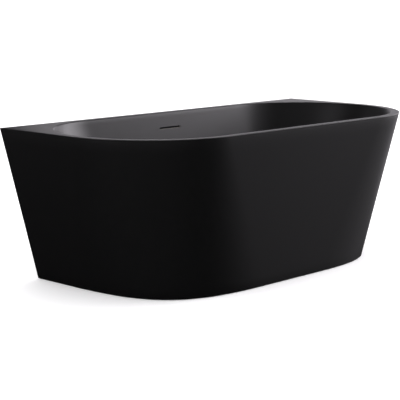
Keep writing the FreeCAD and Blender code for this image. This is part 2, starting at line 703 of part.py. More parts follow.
def make_foot_pad(x, y):
    pad = disc(PAD_RADIUS, x, y, 0, PAD_THICKNESS)
    top_edge = [edge for edge in pad.Edges if at_height(edge, PAD_THICKNESS)]
    pad = pad.makeFillet(PAD_ROUNDING, top_edge)
    pad = pad.fuse(disc(PAD_HUB_RADIUS, x, y, PAD_THICKNESS - PAST, PAD_HUB_TOP))
    bore = disc(STUD_PIN_RADIUS + RUNNING, x, y, PAD_BORE_BOTTOM, PAD_HUB_TOP + PAST)
    return pad.cut(bore).removeSplitter()


# ---- waste, seals and plug -----------------------------------------------------------------
def make_waste_flange():
    seat = FLOOR_Z - WASTE_RECESS_DEPTH + SEAL_THICKNESS
    top = seat + FLANGE_THICKNESS
    flange = disc(FLANGE_RADIUS, 0, 0, seat, top)
    top_edge = [edge for edge in flange.Edges if at_height(edge, top)]
    flange = flange.makeFillet(FLANGE_ROUNDING, top_edge)
    tail = disc(TAIL_RADIUS, 0, 0, TAIL_BOTTOM, seat)
    mouth = Part.makeCone(TAIL_BORE, FLANGE_MOUTH_RADIUS, FLANGE_MOUTH_DEPTH,
                          Vector(0, 0, top - FLANGE_MOUTH_DEPTH))
    bore = disc(TAIL_BORE, 0, 0, TAIL_BOTTOM - PAST, top)
    flange = flange.fuse(tail).cut(mouth).cut(bore)
    boss = ring(BOSS_RADIUS, CORE_RADIUS + CLEARANCE, 0, 0, TAIL_BOTTOM, TAIL_BOTTOM + BOSS_HEIGHT)
    pieces = [flange, boss]
    for step in range(SPOKE_COUNT):
        spoke = box(BOSS_RADIUS - SPOKE_OVERLAP, TAIL_BORE + SPOKE_OVERLAP,
                    -SPOKE_WIDTH / 2, SPOKE_WIDTH / 2, TAIL_BOTTOM, TAIL_BOTTOM + BOSS_HEIGHT)
        spoke.rotate(Vector(0, 0, 0), UP, step * 360 / SPOKE_COUNT)
        pieces.append(spoke)
    return fuse_all(pieces)


def make_waste_top_seal():
    z0 = FLOOR_Z - WASTE_RECESS_DEPTH
    return ring(FLANGE_RADIUS - SEAL_INSET, TAIL_RADIUS + CLEARANCE, 0, 0, z0, z0 + SEAL_THICKNESS)


def make_waste_bottom_seal():
    return ring(WASTE_BODY_FLANGE_RADIUS, TAIL_RADIUS + CLEARANCE, 0, 0,
                BOWL_UNDERSIDE - BOTTOM_SEAL_THICKNESS, BOWL_UNDERSIDE)


def make_waste_body():
    """Threaded body under the bowl, with a side inlet for the overflow hose."""
    top = BOWL_UNDERSIDE - BOTTOM_SEAL_THICKNESS
    bore = TAIL_RADIUS + CLEARANCE
    body = disc(WASTE_BODY_FLANGE_RADIUS, 0, 0, top - WASTE_BODY_FLANGE_THICKNESS, top)
    barrel = disc(WASTE_BODY_RADIUS, 0, 0, WASTE_THREAD_TOP, top)
    thread = disc(WASTE_THREAD_RADIUS, 0, 0, WASTE_BODY_BOTTOM, WASTE_THREAD_TOP + PAST)
    inlet = rod(TAILPIPE_RADIUS, Vector(0, TAIL_RADIUS, INLET_Z), TO_WALL, INLET_REACH - TAIL_RADIUS)
    body = fuse_all([body, barrel, thread, inlet])
    body = body.cut(disc(bore, 0, 0, WASTE_BODY_BOTTOM - PAST, top + PAST))
    inlet_bore = rod(TAILPIPE_BORE, Vector(0, 0, INLET_Z), TO_WALL, INLET_REACH + PAST)
    return body.cut(inlet_bore).removeSplitter()


def make_plug_core():
    """Guide that screws into the flange's boss and holds the plug's stem."""
    boss_top = TAIL_BOTTOM + BOSS_HEIGHT
    core = disc(CORE_RADIUS, 0, 0, CORE_BORE_BOTTOM - CORE_FLOOR, CORE_TOP)
    core = core.fuse(disc(CORE_HEAD_RADIUS, 0, 0, boss_top, boss_top + CORE_HEAD_THICKNESS))
    bore = disc(STEM_RADIUS + RUNNING, 0, 0, CORE_BORE_BOTTOM, CORE_TOP + PAST)
    return core.cut(bore).removeSplitter()


def plug_seat_z():
    """Underside of the plug's seal when the plug stands open."""
    return FLOOR_Z - WASTE_RECESS_DEPTH + SEAL_THICKNESS + FLANGE_THICKNESS + PLUG_TRAVEL


def make_plug_cap():
    """Shallow domed cap with a boss that takes the stem."""
    z0 = plug_seat_z() + PLUG_SEAL_THICKNESS
    z1 = z0 + PLUG_EDGE_THICKNESS
    sphere_radius = (PLUG_RADIUS ** 2 + PLUG_CROWN ** 2) / (2 * PLUG_CROWN)
    ball = Part.makeSphere(sphere_radius, Vector(0, 0, z1 + PLUG_CROWN - sphere_radius))
    cap = disc(PLUG_RADIUS, 0, 0, z0, z1 + PLUG_CROWN + PAST).common(ball)
    boss = disc(PLUG_BOSS_RADIUS, 0, 0, z0 - PLUG_BOSS_HEIGHT, z0 + PAST)
    hole = disc(STEM_RADIUS + CLEARANCE, 0, 0, z0 - PLUG_BOSS_HEIGHT - PAST, z0)
    return cap.fuse(boss).cut(hole).removeSplitter()


def make_plug_seal():
    z0 = plug_seat_z()
    return ring(PLUG_SEAL_RADIUS, PLUG_BOSS_RADIUS + CLEARANCE, 0, 0, z0, z0 + PLUG_SEAL_THICKNESS)


def make_plug_stem():
    return disc(STEM_RADIUS, 0, 0, STEM_BOTTOM, plug_seat_z() + PLUG_SEAL_THICKNESS)


def make_plug_spring():
    """Compression spring between the guide and the cap's boss."""
    z0 = CORE_TOP + SPRING_WIRE_RADIUS
    z1 = plug_seat_z() + PLUG_SEAL_THICKNESS - PLUG_BOSS_HEIGHT - SPRING_WIRE_RADIUS
    helix = Part.makeHelix((z1 - z0) / SPRING_TURNS, z1 - z0, SPRING_RADIUS)
    helix.translate(Vector(0, 0, z0))
    wire = Part.Wire(Part.makeCircle(SPRING_WIRE_RADIUS, Vector(SPRING_RADIUS, 0, z0), TO_WALL))
    return Part.Wire(helix).makePipeShell([wire], True, True)


# ---- overflow ------------------------------------------------------------------------------
def wall_slice(z0, z1, near, far):
    """(y, z) outline of a layer that follows the bowl's sloping back wall."""
    return [(well_wall_y(z0, near), z0), (well_wall_y(z0, far), z0),
            (well_wall_y(z1, far), z1), (well_wall_y(z1, near), z1)]


def make_overflow_seal():
    far = BOWL_GROW + HOOD_SEAL_THICKNESS
    half = HOOD_HALF_LENGTH
    band = HOOD_SEAL_BAND
    seal = prism_along_x(wall_slice(HOOD_BOTTOM, HOOD_TOP, BOWL_GROW, far), -half, half)
    opening = prism_along_x(wall_slice(HOOD_BOTTOM + band, HOOD_TOP - band, 0, far + WELL_PAST),
                            -half + band, half - band)
    return seal.cut(opening)


def make_overflow_hood():
    """Box behind the slot that collects the overflow, with a tailpipe pointing down."""
    half = HOOD_HALF_LENGTH
    near = BOWL_GROW + HOOD_SEAL_THICKNESS
    outside = prism_along_x([(well_wall_y(HOOD_BOTTOM, near), HOOD_BOTTOM), (HOOD_REAR_Y, HOOD_BOTTOM),
                             (HOOD_REAR_Y, HOOD_TOP), (well_wall_y(HOOD_TOP, near), HOOD_TOP)],
                            -half, half)
    z0 = HOOD_BOTTOM + HOOD_WALL
    z1 = HOOD_TOP - HOOD_WALL
    rear = HOOD_REAR_Y - HOOD_WALL
    inside = prism_along_x([(well_wall_y(z0), z0), (rear, z0), (rear, z1), (well_wall_y(z1), z1)],
                           -half + HOOD_WALL, half - HOOD_WALL)
    tailpipe = disc(TAILPIPE_RADIUS, 0, HOSE_Y, TAILPIPE_BOTTOM, z0)
    hood = fuse_all([outside.cut(inside), tailpipe])
    return hood.cut(disc(TAILPIPE_BORE, 0, HOSE_Y, TAILPIPE_BOTTOM - PAST, z0 + PAST))


def hose_path(start_z, end_y):
    """Down behind the bowl, round one bend, then forwards under it."""
    bend_top = Vector(0, HOSE_Y, INLET_Z + HOSE_BEND)
    bend_end = Vector(0, HOSE_Y - HOSE_BEND, INLET_Z)
    inward = HOSE_BEND * (1 - math.sqrt(0.5))
    bend_middle = Vector(0, HOSE_Y - inward, INLET_Z + inward)
    return Part.Wire([
        Part.makeLine(Vector(0, HOSE_Y, start_z), bend_top),
        Part.Arc(bend_top, bend_middle, bend_end).toShape(),
        Part.makeLine(bend_end, Vector(0, end_y, INLET_Z)),
    ])


def swept_round(path, radius, start):
    profile = Part.Wire(Part.makeCircle(radius, start, UP))
    return path.makePipeShell([profile], True, False)


def make_overflow_hose():
    start = Vector(0, HOSE_Y, HOSE_TOP)
    path = hose_path(HOSE_TOP, HOSE_FRONT_Y)
    outer = swept_round(path, HOSE_RADIUS, start)
    inner = swept_round(path, HOSE_BORE, start)
    return outer.cut(inner)


def make_hose_clip(centre, direction):
    """Band with a small tightening lug, centred on a straight run of the hose."""
    start = centre - direction * (CLIP_WIDTH / 2)
    band = rod(CLIP_RADIUS, start, direction, CLIP_WIDTH)
    lug = Part.makeBox(CLIP_LUG, CLIP_LUG, CLIP_WIDTH,
                       Vector(CLIP_RADIUS - PAST, -CLIP_LUG / 2, -CLIP_WIDTH / 2))
    if abs(direction.y) > 0.5:
        lug.rotate(Vector(0, 0, 0), ALONG_X, 90)
    lug.translate(centre)
    clip = fuse_all([band, lug])
    bore_start = start - direction * PAST
    return clip.cut(rod(HOSE_RADIUS + CLEARANCE, bore_start, direction, CLIP_WIDTH + 2 * PAST))


def make_hose_clips():
    return Part.makeCompound([
        make_hose_clip(Vector(0, HOSE_Y, HOSE_TOP - CLIP_BELOW_HOSE_TOP), UP),
        make_hose_clip(Vector(0, HOSE_FRONT_Y + CLIP_FROM_HOSE_FRONT, INLET_Z), TO_WALL),
    ])


# ---- trap and outlet -----------------------------------------------------------------------
def make_trap_union_nut():
    """Nut that hangs the trap from the waste body."""
    lip_top = WASTE_BODY_BOTTOM - TRAP_SEAL_THICKNESS - TRAP_COLLAR_THICKNESS
    nut = hexagon(UNION_NUT_FLATS, Vector(0, 0, UNION_NUT_BOTTOM), UP, UNION_NUT_TOP - UNION_NUT_BOTTOM)
    nut = nut.cut(disc(WASTE_THREAD_RADIUS + CLEARANCE, 0, 0, lip_top, UNION_NUT_TOP + PAST))
    return nut.cut(disc(TRAP_INLET_RADIUS + CLEARANCE, 0, 0, UNION_NUT_BOTTOM - PAST, lip_top + PAST))


def make_trap_seal():
    return ring(TRAP_COLLAR_RADIUS, TRAP_INLET_RADIUS - TRAP_WALL, 0, 0,
                WASTE_BODY_BOTTOM - TRAP_SEAL_THICKNESS, WASTE_BODY_BOTTOM)


def make_trap_body():
    """Flat round trap: a dip tube inside a closed pot, with a side outlet socket."""
    collar_top = WASTE_BODY_BOTTOM - TRAP_SEAL_THICKNESS
    inside_bottom = TRAP_BOTTOM + TRAP_WALL
    inside_top = TRAP_TOP - TRAP_WALL
    neck_radius = CLEANOUT_RADIUS - CLEANOUT_WALL
    pot = disc(TRAP_RADIUS, 0, 0, TRAP_BOTTOM, TRAP_TOP)
    pot = pot.makeFillet(TRAP_ROUNDING, [edge for edge in pot.Edges if at_height(edge, TRAP_TOP)])
    inside = disc(TRAP_RADIUS - TRAP_WALL, 0, 0, inside_bottom, inside_top)
    inside = inside.makeFillet(TRAP_INSIDE_ROUNDING,
                               [edge for edge in inside.Edges if at_height(edge, inside_top)])
    socket = rod(OUTLET_SOCKET_RADIUS, Vector(0, OUTLET_SOCKET_ROOT, OUTLET_Z), TO_WALL,
                 OUTLET_SOCKET_END - OUTLET_SOCKET_ROOT)
    neck = disc(neck_radius, 0, 0, CLEANOUT_BOTTOM + CLEANOUT_FACE, inside_bottom)
    neck_bore = disc(neck_radius - TRAP_WALL, 0, 0, CLEANOUT_BOTTOM, inside_bottom + PAST)
    pipe_bore = rod(OUTLET_BORE, Vector(0, 0, OUTLET_Z), TO_WALL, OUTLET_SOCKET_END + PAST)
    pipe_seat = rod(OUTLET_RADIUS + CLEARANCE, Vector(0, PIPE_START_Y, OUTLET_Z), TO_WALL,
                    PIPE_SEAT_LENGTH)
    shell = fuse_all([pot, socket, neck]).cut(inside).cut(neck_bore).cut(pipe_bore).cut(pipe_seat)
    inlet = disc(TRAP_INLET_RADIUS, 0, 0, DIP_TUBE_BOTTOM, collar_top)
    collar = disc(TRAP_COLLAR_RADIUS, 0, 0, collar_top - TRAP_COLLAR_THICKNESS, collar_top)
    dip_bore = disc(TRAP_INLET_RADIUS - TRAP_WALL, 0, 0, DIP_TUBE_BOTTOM - PAST, collar_top + PAST)
    return fuse_all([shell, inlet, collar]).cut(dip_bore)


def make_trap_cleanout():
    """Screw cap under the trap with a finger grip across it."""
    cap = disc(CLEANOUT_RADIUS, 0, 0, CLEANOUT_BOTTOM, TRAP_BOTTOM)
    cap = cap.cut(disc(CLEANOUT_RADIUS - CLEANOUT_WALL + CLEARANCE, 0, 0,
                       CLEANOUT_BOTTOM + CLEANOUT_FACE, TRAP_BOTTOM + PAST))
    grip = box(-CLEANOUT_GRIP_HALF_LENGTH, CLEANOUT_GRIP_HALF_LENGTH,
               -CLEANOUT_GRIP_HALF_WIDTH, CLEANOUT_GRIP_HALF_WIDTH,
               CLEANOUT_BOTTOM - CLEANOUT_GRIP_HEIGHT, CLEANOUT_BOTTOM + PAST)
    return fuse_all([cap, grip])


def make_outlet_nut():
    """Compression nut on the trap's outlet socket."""
    start_y = OUTLET_SOCKET_END + OUTLET_NUT_OVERHANG - OUTLET_NUT_LENGTH
    lip_y = OUTLET_SOCKET_END + OUTLET_SEAL_THICKNESS
    nut = hexagon(OUTLET_NUT_FLATS, Vector(0, start_y, OUTLET_Z), TO_WALL, OUTLET_NUT_LENGTH)
    bore_start = Vector(0, start_y - PAST, OUTLET_Z)
    nut = nut.cut(rod(OUTLET_SOCKET_RADIUS + CLEARANCE, bore_start, TO_WALL, lip_y - start_y + PAST))
    return nut.cut(rod(OUTLET_RADIUS + CLEARANCE, bore_start, TO_WALL, OUTLET_NUT_LENGTH + 2 * PAST))


def make_outlet_seal():
    """Rubber ring squeezed between the trap's socket and the nut's lip."""
    seal = rod(OUTLET_SOCKET_RADIUS, Vector(0, OUTLET_SOCKET_END, OUTLET_Z), TO_WALL,
               OUTLET_SEAL_THICKNESS)
    return seal.cut(rod(OUTLET_RADIUS + CLEARANCE, Vector(0, OUTLET_SOCKET_END - PAST, OUTLET_Z),
                        TO_WALL, OUTLET_SEAL_THICKNESS + 2 * PAST))


def make_outlet_pipe():
    """Plain 40 mm pipe to the wall, with a stop bead before its free end."""
    start = Vector(0, PIPE_START_Y, OUTLET_Z)
    pipe = rod(OUTLET_RADIUS, start, TO_WALL, PIPE_END_Y - PIPE_START_Y)
    bead = rod(PIPE_BEAD_RADIUS, Vector(0, PIPE_BEAD_Y, OUTLET_Z), TO_WALL, PIPE_BEAD_WIDTH)
    pipe = fuse_all([pipe, bead])
    return pipe.cut(rod(OUTLET_BORE, start - TO_WALL * PAST, TO_WALL,
                        PIPE_END_Y - PIPE_START_Y + 2 * PAST))


# ---- write every piece ---------------------------------------------------------------------
def save(node, shape):
    shape.exportStep("parts/" + node + ".step")
    print(node, len(shape.Solids), round(shape.Volume / 1000.0, 2), shape.isValid())


def main():
    left_rail_screw = [skirt_rail_screw("left")]
    middle_rail_screw = [skirt_rail_screw("middle")]
    right_rail_screw = [skirt_rail_screw("right")]

    save("inner_basin", make_inner_basin())
    save("outer_skirt", make_outer_skirt())
    save("base_board", make_base_board())
    save("cross_rail_left", make_cross_rail(-END_RAIL_X, END_RAIL_REAR_Y, left_rail_screw))
    save("cross_rail_middle", make_cross_rail(MIDDLE_RAIL_X, MIDDLE_RAIL_REAR_Y, middle_rail_screw))
    save("cross_rail_right", make_cross_rail(END_RAIL_X, END_RAIL_REAR_Y, right_rail_screw))
    save("rail_end_caps", make_rail_end_caps())
    save("board_screws", screw_group(board_screws()))
    save("back_batten", make_back_batten())
    save("batten_screws", screw_group(batten_screws()))
    for name, make in (("upright", make_upright), ("corner_board", make_corner_board),
                       ("side_strap", make_side_strap), ("wall_bracket", make_wall_bracket)):
        right = make()
        save(name + "_right", right)
        save(name + "_left", mirrored(right))
    for name in SKIRT_BRACKET_PLACES:
        save("skirt_bracket_" + name, make_skirt_bracket(name))
    save("bracket_screws", screw_group(bracket_screws()))

    save("foot_sockets", Part.makeCompound([make_foot_socket(x, y) for x, y in FOOT_PLACES]))
    save("lock_nuts", Part.makeCompound([make_lock_nut(x, y) for x, y in FOOT_PLACES]))
    for number, (x, y) in enumerate(FOOT_PLACES, start=1):
        save("foot_stud_%d" % number, make_foot_stud(x, y))
        save("foot_pad_%d" % number, make_foot_pad(x, y))

    save("waste_flange", make_waste_flange())
    save("waste_top_seal", make_waste_top_seal())
    save("waste_bottom_seal", make_waste_bottom_seal())
    save("waste_body", make_waste_body())
    save("plug_core", make_plug_core())
    save("plug_cap", make_plug_cap())
    save("plug_seal", make_plug_seal())
    save("plug_stem", make_plug_stem())
    save("plug_spring", make_plug_spring())

    save("overflow_seal", make_overflow_seal())
    save("overflow_hood", make_overflow_hood())
    save("overflow_hose", make_overflow_hose())
    save("hose_clips", make_hose_clips())

    save("trap_union_nut", make_trap_union_nut())
    save("trap_seal", make_trap_seal())
    save("trap_body", make_trap_body())
    save("trap_cleanout", make_trap_cleanout())
    save("outlet_nut", make_outlet_nut())
    save("outlet_seal", make_outlet_seal())
    save("outlet_pipe", make_outlet_pipe())


main()
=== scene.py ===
import math

import bmesh
import bpy
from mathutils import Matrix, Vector


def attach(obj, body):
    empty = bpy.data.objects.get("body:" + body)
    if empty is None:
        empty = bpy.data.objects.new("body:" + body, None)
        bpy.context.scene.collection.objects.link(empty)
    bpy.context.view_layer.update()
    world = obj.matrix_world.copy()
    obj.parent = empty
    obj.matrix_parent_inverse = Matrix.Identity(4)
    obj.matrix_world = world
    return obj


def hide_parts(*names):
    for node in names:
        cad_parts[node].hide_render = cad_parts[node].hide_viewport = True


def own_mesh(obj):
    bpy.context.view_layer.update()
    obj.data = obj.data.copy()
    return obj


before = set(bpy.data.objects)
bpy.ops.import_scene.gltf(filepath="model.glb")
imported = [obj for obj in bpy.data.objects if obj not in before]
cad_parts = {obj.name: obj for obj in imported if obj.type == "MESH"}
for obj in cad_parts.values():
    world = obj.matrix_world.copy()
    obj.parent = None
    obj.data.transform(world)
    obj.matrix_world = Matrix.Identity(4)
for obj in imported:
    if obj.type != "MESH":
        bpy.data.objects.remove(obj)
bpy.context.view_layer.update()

# A matt black back-to-wall bathtub. Metres, +Z up, X along the wall, +Y towards the wall.

# ---- driving dimensions ----
# Outer shell: a D at the rim and a smaller, fuller D at the floor.
HEIGHT = 0.604
BACK_Y = 0.400
HALF_LENGTH = 0.850
FRONT_Y = -BACK_Y
RIM_CORNER = 0.400
ROUND_FULLNESS = 0.5523        # Bezier handle / radius that draws a circular corner
BASE_HALF_LENGTH = 0.681
BASE_FRONT_Y = -0.320
BASE_CORNER = 0.498
BASE_FULLNESS = 0.783

# Rim and bowl.
RIM_WIDTH = 0.035
RIM_OUTER_EDGE = 0.002
RIM_INNER_EDGE = 0.004
WELL_HALF_LENGTH = HALF_LENGTH - RIM_WIDTH
WELL_HALF_WIDTH = BACK_Y - RIM_WIDTH
FLOOR_Z = 0.165
FLOOR_HALF_LENGTH = 0.600
FLOOR_HALF_WIDTH = 0.265
FLOOR_FILLET = 0.110
BOWL_WALL = 0.008
BOWL_GROW = 0.0085             # BOWL_WALL measured level, across the sloping wall
RIM_UNDERSIDE = HEIGHT - BOWL_WALL
WASTE_RECESS_RADIUS = 0.0365
WASTE_RECESS_DEPTH = 0.003
WASTE_HOLE_RADIUS = 0.024
OVERFLOW_Z = 0.541
OVERFLOW_LENGTH = 0.125
OVERFLOW_HEIGHT = 0.008

# Skirt.
SKIRT_BOTTOM = 0.002
SKIRT_WALL = 0.006
SKIRT_TOP_FLANGE = 0.020
SKIRT_BOTTOM_LIP = 0.030
SKIRT_BACK_FLANGE = 0.036

# Levelling feet, at their places under the rails.
FEET = [(x, y) for y in (-0.190, 0.225) for x in (-0.470, 0.190, 0.470)]
THREAD_PITCH = 0.0015
STUD_RADIUS = 0.005
STUD_TIP_RADIUS = 0.004
STUD_BOTTOM = 0.0041
COLLAR_BOTTOM = 0.0161
COLLAR_TOP = 0.0221
STUD_TOP = 0.146
PAD_RADIUS = 0.025
PAD_EDGE_TOP = 0.008
PAD_HUB_TOP = 0.016
SOCKET_FLANGE = 0.0015
LOCK_NUT_HEIGHT = 0.008

# Cross rails (their x and rear end) and the two uprights.
RAILS = {"left": (-0.470, 0.391), "middle": (0.190, 0.250), "right": (0.470, 0.391)}
RAIL_FRONT_Y = -0.250
BOARD_THICKNESS = 0.018
RAIL_HEIGHT = 0.025
RAIL_TOP = FLOOR_Z - BOWL_WALL - BOARD_THICKNESS
RAIL_BOTTOM = RAIL_TOP - RAIL_HEIGHT
RAIL_HALF_WIDTH = 0.015
TUBE_WALL = 0.002
UPRIGHT_X = 0.470
UPRIGHT_REAR_Y = 0.391
UPRIGHT_FRONT_Y = UPRIGHT_REAR_Y - 0.020
PLATE_BOTTOM = 0.569
PLATE_TOP = 0.572
PLATE_HALF = 0.022

# Overflow hose: down from the hood, round a bend, and forward to the waste.
HOSE_Y = 0.380
HOSE_RADIUS = 0.0125
HOSE_BORE = 0.0098
HOSE_BEND = 0.060
HOSE_TOP = 0.513
HOSE_FRONT_Y = 0.030
INLET_Z = 0.122
CORRUGATION = 0.0042
CUFF_LENGTH = 0.026

# Waste flange with its tail, and the body under the bowl.
WASTE_SEAL = 0.0015
FLANGE_THICKNESS = 0.0025
FLANGE_TOP = FLOOR_Z - WASTE_RECESS_DEPTH + WASTE_SEAL + FLANGE_THICKNESS
FLANGE_RADIUS = 0.035
TAIL_RADIUS = 0.020
TAIL_BORE = 0.017
TAIL_BOTTOM = 0.128
SPOKES_TOP = 0.136
WASTE_BODY_BOTTOM = 0.098
WASTE_BODY_TOP = 0.154
WASTE_BODY_BORE = 0.0203

# Plug, at its open height.
PLUG_TRAVEL = 0.009
PLUG_SEAT = FLANGE_TOP + PLUG_TRAVEL
PLUG_RADIUS = 0.031
PLUG_BOSS_RADIUS = 0.007
PLUG_SEAL_RADIUS = 0.027

# Trap and outlet pipe.
OUTLET_Z = 0.064
TRAP_BOTTOM = 0.022
TRAP_TOP = 0.088
TRAP_RADIUS = 0.055
TRAP_WALL = 0.0025
DIP_TUBE_BOTTOM = 0.030
DIP_TUBE_BORE = 0.0175
PIPE_RADIUS = 0.020
PIPE_BORE = 0.018
PIPE_FRONT_Y = 0.070
PIPE_REAR_Y = 0.398
PIPE_BEAD_Y = 0.330

SCREW_RADIUS = 0.002
SCREW_HEAD_RADIUS = 0.0045
SCREW_HEAD_HEIGHT = 0.0025

# Faces along each stretch of the outline: side, front corner and straight front.
SIDE_STEPS = 24
CORNER_STEPS = 56
FRONT_STEPS = 36
AXIS = 0.0002                  # lathe profiles start and end this close to their axis

# World, lights and camera.
WORLD_STRENGTH = 1.35
WORLD_IN_REFLECTIONS = 0.01
LIGHT_DISTANCE = 7.0
LIGHT_TARGET = Vector((0.0, 0.0, 0.4))
LIGHT_TINT = (1.0, 0.96, 1.02)
CAMERA_AZIMUTH = 46.43         # degrees clockwise from the wall, seen from above
CAMERA_PITCH = 9.586           # degrees down
CAMERA_LENS = 117.08
CAMERA_PLACE = (-3.8315, -3.466, 1.1464)


# ---- node helpers for materials ----
def new_material(name, color, roughness, metallic=0.0, specular=0.5):
    """A Principled material with plain values; returns it with its tree and shader."""
    material = bpy.data.materials.new(name)
    material.use_nodes = True
    tree = material.node_tree
    shader = tree.nodes["Principled BSDF"]
    shader.inputs["Base Color"].default_value = (*color, 1.0)
    shader.inputs["Roughness"].default_value = roughness
    shader.inputs["Metallic"].default_value = metallic
    shader.inputs["Specular IOR Level"].default_value = specular
    return material, tree, shader


def object_coordinates(tree, scale=(1.0, 1.0, 1.0)):
    coordinates = tree.nodes.new("ShaderNodeTexCoord")
    mapping = tree.nodes.new("ShaderNodeMapping")
    mapping.inputs["Scale"].default_value = scale
    tree.links.new(coordinates.outputs["Object"], mapping.inputs["Vector"])
    return mapping.outputs["Vector"]


def noise(tree, vector, scale, detail=4.0, roughness=0.5):
    node = tree.nodes.new("ShaderNodeTexNoise")
    node.inputs["Scale"].default_value = scale
    node.inputs["Detail"].default_value = detail
    node.inputs["Roughness"].default_value = roughness
    tree.links.new(vector, node.inputs["Vector"])
    return node.outputs["Fac"]


def ramp(tree, value, stops):
    """Colour ramp from (position, grey or colour) stops."""
    node = tree.nodes.new("ShaderNodeValToRGB")
    elements = node.color_ramp.elements
    while len(elements) < len(stops):
        elements.new(0.5)
    for element, (position, color) in zip(elements, stops):
        element.position = position
        element.color = (color, color, color, 1.0) if isinstance(color, float) else (*color, 1.0)
    tree.links.new(value, node.inputs["Fac"])
    return node.outputs["Color"]


def bump(tree, shader, height, strength, distance):
    node = tree.nodes.new("ShaderNodeBump")
    node.inputs["Strength"].default_value = strength
    node.inputs["Distance"].default_value = distance
    tree.links.new(height, node.inputs["Height"])
    tree.links.new(node.outputs["Normal"], shader.inputs["Normal"])


def speckled_material(name, dark, light, roughness, grain, metallic=0.0, specular=0.5,
                      bump_strength=0.15, bump_distance=0.0003, roughness_spread=0.05):
    """Fine mottled surface: colour, roughness and relief follow two scales of noise."""
    material, tree, shader = new_material(name, light, roughness, metallic, specular)
    vector = object_coordinates(tree)
    broad = noise(tree, vector, grain * 0.08, 3.0)
    fine = noise(tree, vector, grain, 5.0)
    tree.links.new(ramp(tree, broad, [(0.3, dark), (0.7, light)]), shader.inputs["Base Color"])
    spread = [(0.3, roughness - roughness_spread), (0.7, roughness + roughness_spread)]
    tree.links.new(ramp(tree, broad, spread), shader.inputs["Roughness"])
    bump(tree, shader, fine, bump_strength, bump_distance)
    return material


def make_acrylic():
    """Satin-matt black acrylic."""
    return speckled_material("matt_black_acrylic", (0.0013, 0.0013, 0.0014), (0.0017, 0.0017, 0.0018),
                             0.40, 900.0, bump_strength=0.04, bump_distance=0.0001,
                             roughness_spread=0.015)


def make_laminate():
    """Glass-reinforced back of the acrylic: chopped strands under black-tinted resin."""
    material, tree, shader = new_material("glass_laminate", (0.16, 0.15, 0.13), 0.45)
    vector = object_coordinates(tree)
    strands = tree.nodes.new("ShaderNodeTexVoronoi")
    strands.feature = "DISTANCE_TO_EDGE"
    strands.inputs["Scale"].default_value = 90.0
    tree.links.new(vector, strands.inputs["Vector"])
    blotches = noise(tree, vector, 14.0, 6.0, 0.65)
    fine = noise(tree, vector, 260.0, 4.0, 0.6)
    mix = tree.nodes.new("ShaderNodeMix")
    mix.data_type = "RGBA"
    mix.blend_type = "MULTIPLY"
    mix.inputs["Factor"].default_value = 0.22
    tree.links.new(ramp(tree, blotches, [(0.30, (0.10, 0.095, 0.085)), (0.72, (0.26, 0.245, 0.21))]),
                   mix.inputs["A"])
    tree.links.new(ramp(tree, strands.outputs["Distance"], [(0.0, 1.0), (0.12, 0.55)]), mix.inputs["B"])
    tree.links.new(mix.outputs["Result"], shader.inputs["Base Color"])
    height = tree.nodes.new("ShaderNodeMath")
    height.operation = "ADD"
    tree.links.new(strands.outputs["Distance"], height.inputs[0])
    tree.links.new(fine, height.inputs[1])
    bump(tree, shader, height.outputs["Value"], 0.35, 0.0005)
    return material


def make_chipboard():
    material, tree, shader = new_material("chipboard", (0.55, 0.42, 0.27), 0.75)
    vector = object_coordinates(tree)
    chips = tree.nodes.new("ShaderNodeTexVoronoi")
    chips.inputs["Scale"].default_value = 260.0
    tree.links.new(vector, chips.inputs["Vector"])
    stops = [(0.0, (0.36, 0.25, 0.14)), (0.5, (0.55, 0.41, 0.26)), (1.0, (0.72, 0.58, 0.40))]
    tree.links.new(ramp(tree, chips.outputs["Color"], stops), shader.inputs["Base Color"])
    bump(tree, shader, chips.outputs["Distance"], 0.35, 0.0004)
    return material


def make_timber(name, light, dark, along):
    """Softwood or plywood with its grain stretched along one direction."""
    material, tree, shader = new_material(name, light, 0.68)
    vector = object_coordinates(tree, along)
    grain = noise(tree, vector, 60.0, 6.0, 0.6)
    pores = noise(tree, vector, 420.0, 3.0, 0.6)
    tree.links.new(ramp(tree, grain, [(0.32, dark), (0.66, light)]), shader.inputs["Base Color"])
    bump(tree, shader, pores, 0.3, 0.0003)
    return material


def make_materials():
    return {
        "acrylic": make_acrylic(),
        "laminate": make_laminate(),
        "chipboard": make_chipboard(),
        "softwood": make_timber("softwood", (0.68, 0.52, 0.33), (0.50, 0.35, 0.19), (0.05, 1.0, 1.0)),
        "plywood": make_timber("plywood", (0.62, 0.48, 0.31), (0.47, 0.34, 0.20), (1.0, 0.10, 1.0)),
        "powder_coat": speckled_material("powder_coat", (0.085, 0.088, 0.092), (0.10, 0.104, 0.108),
                                         0.48, 1600.0, bump_strength=0.25, bump_distance=0.0002),
        "zinc": speckled_material("zinc_plate", (0.50, 0.51, 0.50), (0.66, 0.67, 0.66), 0.34, 700.0,
                                  metallic=1.0, bump_strength=0.05),
        "black_plastic": speckled_material("black_plastic", (0.012, 0.012, 0.012),
                                           (0.018, 0.018, 0.018), 0.5, 1200.0),
        "rubber": speckled_material("rubber", (0.014, 0.014, 0.014), (0.022, 0.022, 0.022), 0.75,
                                    900.0, specular=0.35),
        "black_metal": speckled_material("black_coated_metal", (0.006, 0.006, 0.006),
                                         (0.009, 0.009, 0.009), 0.36, 1500.0, bump_strength=0.08,
                                         bump_distance=0.0001),
        "brass": speckled_material("brass", (0.62, 0.44, 0.18), (0.74, 0.56, 0.26), 0.28, 900.0,
                                   metallic=1.0, bump_strength=0.05),
        "white_plastic": speckled_material("white_polypropylene", (0.70, 0.70, 0.68),
                                           (0.78, 0.78, 0.76), 0.42, 800.0, bump_strength=0.06),
        "hood_plastic": speckled_material("dark_grey_plastic", (0.030, 0.030, 0.032),
                                          (0.042, 0.042, 0.045), 0.5, 1100.0),
        "hose_plastic": speckled_material("grey_hose", (0.24, 0.25, 0.26), (0.31, 0.32, 0.33), 0.45,
                                          700.0, bump_strength=0.06),
    }


MATERIALS = make_materials()


